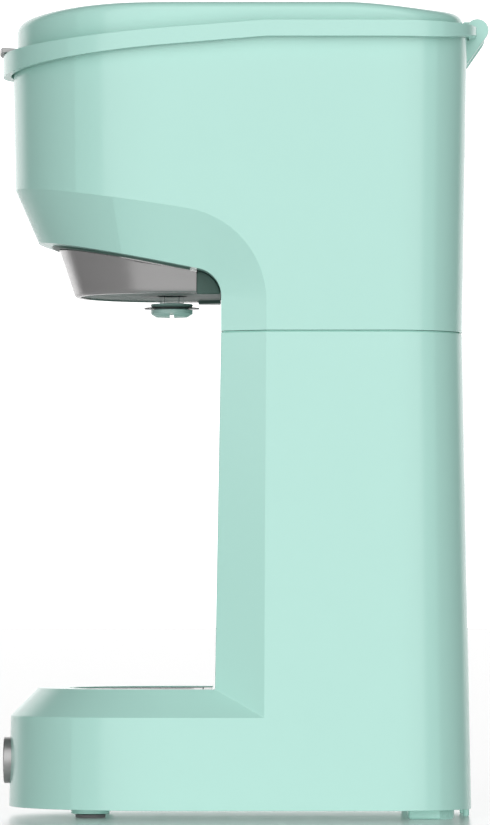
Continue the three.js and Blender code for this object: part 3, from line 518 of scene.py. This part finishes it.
def lower_skin(skin, s):
    """Strips of the lower housing's surface, moved inward by s; returns its bottom and top loops."""
    edge_z = BEVEL_BASE_Z - 0.44 * s
    inset = BAY_RADIUS - 0.58 * s
    corner_y = BEVEL_BASE_Y + 0.35 * s
    radius = lambda z: lower_radius(z) - s
    levels = [BASE_Z, 9.0, 20.0, edge_z]
    base = [front_path(radius(z), corner_y, z) + rear_path(radius(z), corner_y, z) for z in levels]
    skin.strip(base)
    lower_edge = front_path(radius(edge_z), corner_y, edge_z)
    column_y = COLUMN_BASE_Y + s
    upper_edge = front_path(inset, column_y, PLATFORM_Z - s)
    skin.strip([lower_edge, upper_edge], closed=False)
    tray_loop = lambda reach, z: front_path(TRAY_RADIUS + reach, TRAY_BACK_Y + reach, z, TRAY_Y)
    seat_z = LIP_Z - GAP
    seat = [tray_loop(1.5, PLATFORM_Z), tray_loop(1.5, seat_z), tray_loop(0.4, seat_z)]
    hole = [tray_loop(0.4 + s, PLATFORM_Z - s)] if s else seat
    floor_z = 34.8 - s
    floor = tray_loop(0.4 + s, floor_z)
    skin.strip([upper_edge, *hole, floor])
    skin.fan(floor, (0, TRAY_Y, floor_z))
    top = LOWER_HIGH[2]
    first = [(x, y, PLATFORM_Z - s) for x, y in corner_row(inset, column_y)]
    column = [first + rear_path(radius(edge_z), corner_y, edge_z)]
    column += [column_row(s, lerp(PLATFORM_Z, top, t)) for t in (0.02, 0.3, 0.65, 1.0)]
    skin.strip(column)
    return base[0], column[-1]


def lower_housing():
    skin = Skin()
    outer_bottom, outer_top = lower_skin(skin, 0.0)
    inner_bottom, inner_top = lower_skin(skin, WALL)
    skin.strip([outer_bottom, inner_bottom])
    seam_z = LOWER_HIGH[2]
    tongue_z = seam_z + 0.5
    tongue = [column_row(0.7, seam_z), column_row(0.7, tongue_z), column_row(WALL, tongue_z)]
    skin.strip([outer_top, *tongue, inner_top])
    obj = round_edges(skin.build("lower_housing_shell"), 0.5, 3, 16)
    cut(obj, lathe("hole", [(8.9, -95), (8.9, -70)], steps=64, axis="Y", offset=BUTTON_Z))
    cut(obj, lathe("hole", [(5.8, 70), (5.8, 90)], steps=48, axis="Y", offset=GLAND_Z))
    for x in (-15, 15):
        peg = lathe("peg", [(0.9, 0), (1.2, 0.3), (1.2, BASE_Z + 1)], x, 81.2, steps=24)
        fuse(obj, peg)
    return obj


piece(lower_housing(), "mint", "mint_shell", "housing", "lower_housing")


# ---------- upper housing ----------
def upper_skin(skin, s):
    """Strips of the upper housing's surface, moved inward by s; returns its bottom and top loops."""
    radius = lambda z: upper_radius(z) - s
    inset = BAY_RADIUS - 0.58 * s
    bottom = UPPER_LOW[2]
    side_y = BEVEL_HEAD_Y + 0.35 * s
    fillet_y, fillet_z, fillet_r = INNER_FILLET
    outer_y, outer_z, outer_r = OUTER_FILLET
    row = lambda y, z: [(inset, y, z), (-inset, y, z)]
    loops = [row(COLUMN_TOP_Y + s, bottom) + rear_path(radius(bottom), side_y, bottom)]
    last_turn = math.pi / 2 + math.atan(CEILING_FRONT[2])
    last_outer_turn = math.pi / 2 + math.atan(BEVEL_FRONT[2])
    steps = 14
    for i in range(steps + 1):
        turn = last_turn * i / steps
        outer_turn = last_outer_turn * i / steps
        y = fillet_y + (fillet_r + s) * math.cos(turn)
        z = fillet_z + (fillet_r + s) * math.sin(turn)
        corner_y = outer_y + (outer_r + 0.35 * s) * math.cos(outer_turn)
        corner_z = outer_z + (outer_r + 0.2 * s) * math.sin(outer_turn)
        loops.append(row(y, z) + rear_path(radius(corner_z), corner_y, corner_z))
    skin.strip(loops)

    lift = z - ceiling_z(y)
    boundary = front_path(inset, y, lambda at: ceiling_z(at) + lift)
    skin.zip_cap(boundary)
    edge_lift = corner_z - bevel_z(corner_y)
    edge_height = lambda at: bevel_z(at) + edge_lift
    edge = front_path(radius, corner_y, edge_height)
    edge[0] = (radius(corner_z), corner_y, corner_z)
    edge[-1] = (-radius(corner_z), corner_y, corner_z)
    skin.strip([boundary, edge], closed=False)

    wall = [edge + rear_path(radius(corner_z), corner_y, corner_z)]
    top = ring(TOP_RADIUS - s, head_top_z, corner_y)
    for t in (0.12, 0.4, 0.7, 1.0):
        wall.append([tuple(lerp(a, b, t) for a, b in zip(low, high)) for low, high in zip(wall[0], top)])
    skin.strip(wall)
    return loops[0], wall[-1]


def arc(centre_y, centre_z, radius, start, end, steps):
    """Points of an arc in the (y, z) plane, angles measured from +Y."""
    points = []
    for i in range(steps + 1):
        turn = lerp(start, end, i / steps)
        points.append((centre_y + radius * math.cos(turn), centre_z + radius * math.sin(turn)))
    return points


def pin_hole(reach):
    """Bore for the hinge pin, from -reach to reach across."""
    profile = [(PIN_HOLE_RADIUS, -reach), (PIN_HOLE_RADIUS, reach)]
    return lathe("hole", profile, 0, HINGE_Y, steps=32, axis="X", offset=HINGE_Z)


def ear(x0, x1):
    outline = [(78.4, 272.2), (81.4, 274.2)] + arc(HINGE_Y, HINGE_Z, 4.1, -0.65, math.pi, 24)
    outline += [(HINGE_Y - 4.1, 284), (79.4, 282)]
    return round_edges(side_prism("ear", outline, x0, x1), 0.5, 2)


def upper_housing():
    skin = Skin()
    outer_bottom, outer_top = upper_skin(skin, 0.0)
    inner_bottom, inner_top = upper_skin(skin, WALL)
    skin.strip([outer_bottom, inner_bottom])
    skin.strip([outer_top, inner_top])
    obj = round_edges(skin.build("upper_housing_shell"), 0.5, 3, 16)
    for x0, x1 in ((-EAR_OUTER_X, -EAR_INNER_X), (EAR_INNER_X, EAR_OUTER_X)):
        fuse(obj, ear(x0, x1))
    cut(obj, lathe("hole", [(33.7, INNER_FILLET[1]), (33.7, 240)], 0, BREW_Y, steps=96))
    blind = EAR_OUTER_X - 1
    return cut(obj, pin_hole(blind))


piece(upper_housing(), "mint", "mint_shell", "housing", "upper_housing")


# ---------- lid ----------
def lid_cover():
    skin = Skin()
    shelf = lambda y: head_top_z(y) + 0.5
    loops = [
        ring(DOME_RADIUS - LID_WALL, shelf),
        ring(SKIRT_RADIUS, shelf),
        ring(SKIRT_RADIUS, rim_bottom_z),
        ring(RIM_RADIUS, rim_bottom_z),
        ring(RIM_RADIUS, rim_top_z),
        ring(DOME_RADIUS, rim_top_z),
        ring(DOME_RADIUS, lambda y: dome_z(y) - DOME_EDGE),
    ]
    steps = 8
    for i in range(1, steps + 1):
        turn = i / steps * math.pi / 2
        drop = DOME_EDGE * (1 - math.sin(turn))
        radius = DOME_RADIUS - DOME_EDGE * (1 - math.cos(turn))
        loops.append(ring(radius, lambda y, d=drop: dome_z(y) - d))
    skin.strip(loops)
    skin.zip_cap(loops[-1])
    inner = [loops[0], ring(DOME_RADIUS - LID_WALL, lambda y: dome_z(y) - LID_WALL)]
    skin.strip(inner)
    skin.zip_cap(inner[-1])
    obj = round_edges(skin.build("lid_cover_shell"), 0.8)
    for side in (-1, 1):
        x0, x1 = sorted((side * (EAR_INNER_X - 0.4), side * (EAR_OUTER_X + 0.4)))
        cut(obj, block("notch", x0, x1, 80.4, 92, 270, 296))
    knuckle = [(80.6, 284.6)] + arc(HINGE_Y, HINGE_Z, 3.6, -math.pi / 2, math.pi / 2, 24)
    knuckle += [(80.6, HINGE_Z + 3.6)]
    inner_x = EAR_INNER_X - 0.4
    fuse(obj, round_edges(side_prism("knuckle", knuckle, -inner_x, inner_x), 0.3, 2))
    return cut(obj, pin_hole(EAR_INNER_X + 0.1))


piece(lid_cover(), "mint", "mint_shell", "lid", "lid_cover")


# ---------- lid's tab ----------
def lift_tab():
    """Thin curved lip on the rim at the front, with a raised outer edge."""
    half_angle = 0.19
    outer, inner = RIM_RADIUS + 1.3, DOME_RADIUS + GAP
    top_z = cad_mm("lid_tab")[1][2]
    under = lambda y: rim_top_z(y) + GAP
    steps = 24
    loops = []
    for i in range(steps + 1):
        turn = lerp(-half_angle, half_angle, i / steps)
        spot = lambda r, z: (r * math.sin(turn), ARC_Y - r * math.cos(turn), z)
        out_y, in_y = ARC_Y - outer * math.cos(turn), ARC_Y - inner * math.cos(turn)
        loops.append([spot(outer, under(out_y)), spot(outer, top_z), spot(outer - 1.4, top_z),
                      spot(inner, top_z - 0.3), spot(inner, under(in_y))])
    skin = Skin()
    skin.strip(loops)
    skin.face(loops[0])
    skin.face(loops[-1])
    return round_edges(skin.build("lift_tab"), 0.25, 3)


piece(lift_tab(), "silver", "silver_trim", "lid", "lid_tab")


# ---------- funnel, visor and nozzle ----------
FLANGE_RADIUS = 44.0
INSERT_HALF_WIDTH = 38.0
VISOR_BACK_Y = -17.0
BUCKET_RADIUS = 33.2
BUCKET_Z = cad_mm("funnel_housing")[0][2] + 1.1


def half_round(radius, centre_y, back_y, steps=64):
    points = [(radius, back_y)]
    for i in range(steps + 1):
        turn = math.pi * (0.5 - i / steps)
        points.append((radius * math.sin(turn), centre_y - radius * math.cos(turn)))
    return points + [(-radius, back_y)]


def ceiling_plate():
    """Thin flange, darkened with painted shade, that lies under the sloping ceiling, round the funnel."""
    outline = half_round(FLANGE_RADIUS, BREW_Y, -19.4)
    skin = Skin()
    upper = [(x, y, ceiling_z(y) - GAP) for x, y in outline]
    lower = [(x, y, ceiling_z(y) - 1.1) for x, y in outline]
    skin.strip([upper, lower])
    skin.zip_cap(upper)
    skin.zip_cap(lower)
    return round_edges(skin.build("funnel_housing_shell"), 0.3, 2)


def rear_insert():
    """Wedge behind the visor, darkened with painted shade, its back curved like the fillet above the column.
    """
    fillet_y, fillet_z, fillet_r = INNER_FILLET
    radius = fillet_r - GAP
    front_y = VISOR_BACK_Y + 0.05
    end_turn = math.pi / 2 + math.atan(CEILING_FRONT[2])
    low = BUCKET_Z - 1.1
    start_turn = math.asin((low - fillet_z) / radius)
    outline = [(front_y, low)] + arc(fillet_y, fillet_z, radius, start_turn, end_turn - 0.12, 20)
    outline += [(front_y, ceiling_z(front_y) - 0.5)]
    return round_edges(side_prism("rear_insert", outline, -INSERT_HALF_WIDTH, INSERT_HALF_WIDTH), 0.7, 3)


def funnel_housing():
    obj = ceiling_plate()
    inner, floor_z = BUCKET_RADIUS - 1.8, BUCKET_Z + 1.8
    bucket = [(5.6, BUCKET_Z), (BUCKET_RADIUS, BUCKET_Z), (BUCKET_RADIUS, 262.0), (inner, 262.0),
              (inner, floor_z), (5.6, floor_z), (5.6, BUCKET_Z)]
    cut(obj, lathe("hole", [(BUCKET_RADIUS - 1.0, 180), (BUCKET_RADIUS - 1.0, 240)], 0, BREW_Y))
    fuse(obj, rear_insert())
    cut(obj, lathe("hole", [(BUCKET_RADIUS - 1.0, 180), (BUCKET_RADIUS - 1.0, 240)], 0, BREW_Y))
    return fuse(obj, round_edges(lathe("bucket", bucket, 0, BREW_Y), 0.4, 2))


def visor():
    """Half-round shade that narrows downward, with a small rolled lower edge."""
    low = BUCKET_Z - 0.5
    rolled = [(34.7, 0), (35.2, 0.12), (35.6, 0.4), (36.0, 1.0), (36.3, 2.1)]
    profile = [(radius, low + rise) for radius, rise in rolled]
    profile += [(remap(z, low + 2.1, 210.5, 36.3, 42.4), z) for z in (197.0, 202.0, 207.0)]
    top = lambda y: ceiling_z(y) - 1.4
    thin = 1.6
    outside = [front_path(r, VISOR_BACK_Y, z, BREW_Y) for r, z in profile]
    reach = profile[-1][0] + 0.35
    outside.append([(x, y, top(y)) for x, y, _ in front_path(reach, VISOR_BACK_Y, 200.0, BREW_Y)])
    inside = [[(x, y, top(y)) for x, y, _ in front_path(reach - thin, VISOR_BACK_Y, 200.0, BREW_Y)]]
    within = BUCKET_RADIUS + GAP
    for r, z in [(37.2, 200.0), (34.5, low + 1.8), (within, low + 1.6), (within, low)]:
        inside.append(front_path(r, VISOR_BACK_Y, z, BREW_Y))
    loops = outside + inside + [outside[0]]
    skin = Skin()
    skin.strip(loops, closed=False)
    skin.face([loop[0] for loop in loops[:-1]])
    skin.face([loop[-1] for loop in loops[:-1]])
    return round_edges(skin.build("visor_shell"), 0.25, 2, 50)


# the funnel housing, its rear wedge and its ceiling flange take the dark insert colour, which is painted
# shade for the shadow under the head
piece(funnel_housing(), "insert", "insert_plastic", "housing", "funnel_housing")
piece(visor(), "visor", "satin_visor", "housing", "basket_trim")


def drip_nozzle():
    profile = [(2.6, 183.1), (5.8, 183.1), (7.7, 184.3), (7.7, 185.75), (6.0, 185.75), (6.0, 186.8),
               (7.4, 186.8), (7.8, 187.4), (7.6, 187.9), (4.4, 188.1), (2.6, 188.1), (2.6, 183.1)]
    obj = lathe("nozzle_body", profile, 0, BREW_Y, 96)
    for half_x, half_y in ((9.0, 0.8), (0.8, 9.0)):
        cut(obj, block("slot", -half_x, half_x, BREW_Y - half_y, BREW_Y + half_y, 180, 184.3))
    return round_edges(obj, 0.15, 2, 35)


def nozzle_neck():
    """Clear tube that joins the nozzle to the funnel."""
    low, high = 188.1, BUCKET_Z + 2.1
    profile = [(2.6, low), (4.4, low), (4.4, high), (2.6, high), (2.6, low)]
    return round_edges(lathe("nozzle_neck", profile, 0, BREW_Y, 64), 0.15, 2)


piece(drip_nozzle(), "nozzle", "insert_plastic", "housing", "drip_nozzle")
piece(nozzle_neck(), "clear", "silicone", "housing", "drip_nozzle")
flange_profile = [(6.3, 186.05), (10.2, 186.05), (10.2, 186.5), (6.3, 186.5), (6.3, 186.05)]
piece(round_edges(lathe("nozzle_washer", flange_profile, 0, BREW_Y), 0.12, 2),
      "black", "black_plastic", "housing", "nozzle_flange")

# ---------- brew button ----------
FRONT_Y = CAP_LOW[1]
cap_profile = [(0, FRONT_Y + 0.15), (5.2, FRONT_Y + 0.03), (6.1, FRONT_Y), (6.4, FRONT_Y + 0.3),
               (6.4, -80.2), (8.0, -80.2), (8.0, -79.0), (2.0, -79.0), (2.0, -71.0), (0, -71.0)]
ring_y = FRONT_Y + 0.1
bezel_profile = [(6.7, ring_y + 0.3), (7.0, ring_y), (8.2, ring_y), (8.5, ring_y + 0.3), (8.5, -82.0),
                 (10.0, -82.0), (10.0, -80.5), (6.7, -80.5), (6.7, ring_y + 0.3)]
piece(round_edges(lathe("button_cap_face", cap_profile, steps=72, axis="Y", offset=BUTTON_Z), 0.2, 2, 35),
      "silver", "silver_trim", "button", "button_cap")
piece(round_edges(lathe("button_ring", bezel_profile, steps=72, axis="Y", offset=BUTTON_Z), 0.2, 2, 35),
      "silver", "silver_trim", "housing", "button_bezel")

# ---------- drip tray and grille ----------
GRILLE_Z = cad_mm("drip_grille")[0][2]


def drip_tray():
    wall = lambda r, back, z: [(x, y, z) for x, y in half_round(r, TRAY_Y, back)]
    loops = [
        wall(TRAY_RADIUS, TRAY_BACK_Y, 35.2),
        wall(TRAY_RADIUS, TRAY_BACK_Y, LIP_Z),
        wall(TRAY_RADIUS + 1.2, TRAY_BACK_Y + 1.2, LIP_Z),
        wall(TRAY_RADIUS + 1.2, TRAY_BACK_Y + 1.2, LIP_TOP_Z),
        wall(TRAY_RADIUS - 1.8, TRAY_BACK_Y - 1.8, LIP_TOP_Z),
        wall(TRAY_RADIUS - 1.8, TRAY_BACK_Y - 1.8, GRILLE_Z - GAP),
        wall(TRAY_RADIUS - 3.6, TRAY_BACK_Y - 3.6, GRILLE_Z - GAP),
        wall(TRAY_RADIUS - 3.6, TRAY_BACK_Y - 3.6, 36.8),
    ]
    skin = Skin()
    skin.strip(loops)
    skin.zip_cap(loops[0])
    skin.zip_cap(loops[-1])
    return round_edges(skin.build("tray_pan"), 0.12, 2)


def drip_grille():
    radius = TRAY_RADIUS - 2.2
    back_y = TRAY_BACK_Y - 2.2
    pitch, half_slot = 7.2, 1.7
    slots = []
    for i in range(-5, 6):
        x = i * pitch
        if abs(x) < radius - 4:
            front_y = TRAY_Y - math.sqrt((radius - 4) ** 2 - x * x)
            ends = []
            for centre_y, start in ((back_y - 3 - half_slot, 0.0), (front_y + half_slot, math.pi)):
                for step in range(9):
                    turn = start + math.pi * step / 8
                    ends.append((x + half_slot * math.cos(turn), centre_y + half_slot * math.sin(turn)))
            slots.append(ends)
    plate = prism("grille_plate", half_round(radius, TRAY_Y, back_y), GRILLE_Z, LIP_TOP_Z - 0.1, slots)
    return round_edges(plate, 0.25, 3)


piece(drip_tray(), "black", "black_plastic", "tray", "drip_tray")
piece(drip_grille(), "black", "black_plastic", "grille", "drip_grille")


# ---------- underside ----------
FOOT_PLACES = [(FOOT_X, FOOT_Y), (-FOOT_X, FOOT_Y)]
SCREW_PLACES = [(39.0, -63.9), (-39.0, -63.9), (54.5, 40.0), (-54.5, 40.0)]


def base_plate():
    low, high = 3.7, 6.1
    outline = [(x, y) for x, y, _ in ring(BASE_RADIUS - WALL - 0.5, 0.0)]
    obj = round_edges(prism("base_plate_panel", outline, low, high), 0.5, 2)
    for x, y in FOOT_PLACES:
        fuse(obj, round_edges(lathe("boss", [(7.0, 1.4), (7.0, low + 1)], x, y, 64), 0.3, 2))
    for side in (-1, 1):
        near, far = sorted((side * 34.0, side * 50.0))
        foot = round_edges(block("foot", near, far, 59.2, 75.9, 0, low + 1), 1.2, 3)
        limit = [(x, y) for x, y, _ in ring(BASE_RADIUS - WALL - 1.5, 0.0)]
        fuse(obj, keep(foot, prism("limit", limit, -1, low + 2)))
    for row in range(6):
        y = lerp(-30, 30, row / 5)
        cut(obj, block("vent", -16, 16, y - 1.1, y + 1.1, low - 1, low + 1.2))
    for x, y in FOOT_PLACES:
        cut(obj, lathe("hole", [(2.1, 0), (2.1, low + 5)], x, y, 32))
    for x, y in SCREW_PLACES:
        cut(obj, lathe("recess", [(3.3, 0), (3.3, low + 1.4)], x, y, 48))
        cut(obj, lathe("hole", [(1.7, 0), (1.7, 9)], x, y, 32))
    return obj


def foot_pad(x, y):
    profile = [(0, 0.3), (2.9, 0.3), (3.2, 0), (5.1, 0), (5.5, 0.35), (5.5, 1.1), (1.8, 1.1),
               (1.8, 5.3), (1.5, 5.6), (0, 5.6)]
    return round_edges(lathe("foot_pad", profile, x, y, 64), 0.12, 2, 35)


def cross_screw(index, x, y):
    low, high = cad_mm(f"base_screw_{index}")
    radius = (high[0] - low[0]) / 2
    seat = low[2] + 0.9
    profile = [(0, low[2] + 0.05), (radius * 0.75, low[2]), (radius, low[2] + 0.35), (radius, seat),
               (1.3, seat), (1.3, high[2] - 1.2), (0.4, high[2]), (0, high[2])]
    obj = lathe(f"base_screw_{index}_head", profile, x, y, 48)
    for half_x, half_y in ((1.9, 0.4), (0.4, 1.9)):
        cut(obj, block("slot", x - half_x, x + half_x, y - half_y, y + half_y, low[2] - 1, low[2] + 0.6))
    return obj


piece(base_plate(), "mint_under", "mint_underside", "housing", "base_plate")
for side, (x, y) in zip(("left", "right"), FOOT_PLACES):
    piece(foot_pad(x, y), "rubber", "foot_rubber", "housing", f"front_foot_pad_{side}")
for index, (x, y) in enumerate(SCREW_PLACES, 1):
    piece(cross_screw(index, x, y), "steel", "steel", "housing", f"base_screw_{index}")

gland_profile = [(3.3, 78.8), (7.6, 78.8), (7.6, 79.7), (5.5, 79.7), (5.5, 82.1), (3.3, 82.1), (3.3, 78.8)]
piece(round_edges(lathe("gland_ring", gland_profile, steps=64, axis="Y", offset=GLAND_Z), 0.25, 2),
      "black", "black_plastic", "housing", "cord_gland")

# ---------- hinge pin ----------
pin_radius = (PIN_HIGH[2] - PIN_LOW[2]) / 2
pin_profile = [(0, PIN_LOW[0]), (pin_radius - 0.3, PIN_LOW[0]), (pin_radius, PIN_LOW[0] + 0.3),
               (pin_radius, PIN_HIGH[0] - 0.3), (pin_radius - 0.3, PIN_HIGH[0]), (0, PIN_HIGH[0])]
pin = lathe("hinge_pin_rod", pin_profile, y=HINGE_Y, steps=48, axis="X", offset=HINGE_Z)
piece(pin, "steel", "steel", "housing", "hinge_pin")

# ---------- inner pieces kept from the CAD frame ----------
KEPT = {
    "black": ["button_switch", "terminal_block", "wire_harness", "check_valve", "inner_deck", "outlet_spout",
              "lid_liner", "needle_holder", "brew_basket"],
    "steel": ["button_spring", "heater_strap", "strap_screw_left", "strap_screw_right",
              "thermal_fuse", "tank_filter", "lower_needle", "upper_needle"],
    "silicone": ["upper_inlet_hose", "lower_inlet_hose", "riser_hose", "spout_seal", "brew_gasket",
                 "lid_inlet_seal", "lid_water_tube"],
    "smoke": ["water_tank", "pod_holder"],
    "aluminium": ["heater"],
    "board": ["control_board"],
    "bakelite": ["thermostat"],
}
FINE = ("wire_harness", "button_spring", "upper_needle", "lower_needle")

for finish, names in KEPT.items():
    for name in names:
        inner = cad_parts[name]
        dress(inner, finish)
        if name not in FINE:
            edges = inner.modifiers.new("edges", "BEVEL")
            edges.width = 0.2 * MM
            edges.segments = 2
            edges.limit_method = "ANGLE"
            edges.angle_limit = math.radians(40)
            edges.harden_normals = True

# ---------- floor, light and camera ----------
# the view is square on to the object's right side, from low down and a little over two metres away
VIEW_DISTANCE = 2145.0
VIEW_HEIGHT = 76.8
VIEW_Y = 0.5
AIM_HEIGHT = 148.0
LENS = 254.0

FLOOR_REACH = 60000.0
FLOOR_ALBEDO = 0.55
FLOOR_GLOW = 0.04
AMBIENT = 0.06
BACKGROUND = 1.45
LOBE_EDGE = 0.6
LOBE_CORE = 0.85
KEY_STRENGTH = 3.1
KEY_SPREAD = 105.0


def studio_floor():
    """Pale paper floor, slightly glossy at a glancing view."""
    material = bpy.data.materials.new("studio_paper")
    material.use_nodes = True
    tree = material.node_tree
    shader = tree.nodes["Principled BSDF"]
    shader.inputs["Base Color"].default_value = (FLOOR_ALBEDO, FLOOR_ALBEDO, FLOOR_ALBEDO, 1.0)
    shader.inputs["Roughness"].default_value = 0.2
    shader.inputs["IOR"].default_value = 1.8
    shader.inputs["Emission Color"].default_value = (1.0, 1.0, 1.0, 1.0)
    shader.inputs["Emission Strength"].default_value = FLOOR_GLOW
    grain = node(tree, "ShaderNodeTexNoise", Scale=60.0, Detail=2.0)
    bump = node(tree, "ShaderNodeBump", Strength=0.02, Distance=0.001)
    tree.links.new(grain.outputs["Fac"], bump.inputs["Height"])
    tree.links.new(bump.outputs["Normal"], shader.inputs["Normal"])
    skin = Skin()
    rim = []
    for i in range(96):
        turn = 2 * math.pi * i / 96
        rim.append((FLOOR_REACH * math.cos(turn), FLOOR_REACH * math.sin(turn), 0.0))
    skin.face(rim)
    floor = skin.build("studio_floor")
    floor.data.materials.append(material)
    floor.visible_shadow = False
    return floor


def soft_sun(name, towards, spread, strength):
    """Very broad, even light from far off."""
    data = bpy.data.lights.new(name, "SUN")
    data.angle = math.radians(spread)
    data.energy = strength
    lamp = link(name, data)
    lamp.rotation_euler = Vector(towards).to_track_quat("-Z", "Y").to_euler()
    return lamp


def surroundings():
    """Dim studio with a broad white screen behind the object, opposite the camera."""
    world = bpy.data.worlds.new("studio")
    bpy.context.scene.world = world
    world.use_nodes = True
    tree = world.node_tree
    place = node(tree, "ShaderNodeTexCoord")
    facing = node(tree, "ShaderNodeVectorMath", operation="DOT_PRODUCT")
    facing.inputs[1].default_value = (-1.0, 0.0, 0.0)
    tree.links.new(place.outputs["Generated"], facing.inputs[0])
    glow = node(tree, "ShaderNodeMapRange", interpolation_type="SMOOTHSTEP")
    glow.inputs["From Min"].default_value = LOBE_EDGE
    glow.inputs["From Max"].default_value = LOBE_CORE
    glow.inputs["To Min"].default_value = AMBIENT
    glow.inputs["To Max"].default_value = BACKGROUND
    tree.links.new(facing.outputs["Value"], glow.inputs["Value"])
    tree.links.new(glow.outputs["Result"], tree.nodes["Background"].inputs["Strength"])
    tree.nodes["Background"].inputs["Color"].default_value = (1.0, 1.0, 1.0, 1.0)


def studio():
    surroundings()
    studio_floor()
    soft_sun("key", (-1.0, 0.0, -0.08), KEY_SPREAD, KEY_STRENGTH)


def camera():
    data = bpy.data.cameras.new("camera")
    data.lens = LENS
    data.sensor_width = 36.0
    data.clip_start = 0.1
    data.clip_end = 20.0
    cam = link("camera", data)
    cam.location = Vector((VIEW_DISTANCE, VIEW_Y, VIEW_HEIGHT)) * MM
    aim = Vector((0, VIEW_Y, AIM_HEIGHT)) * MM
    cam.rotation_euler = (aim - cam.location).to_track_quat("-Z", "Y").to_euler()
    bpy.context.scene.camera = cam


studio()
camera()
scene = bpy.context.scene
scene.view_settings.view_transform = "Standard"
scene.view_settings.look = "None"
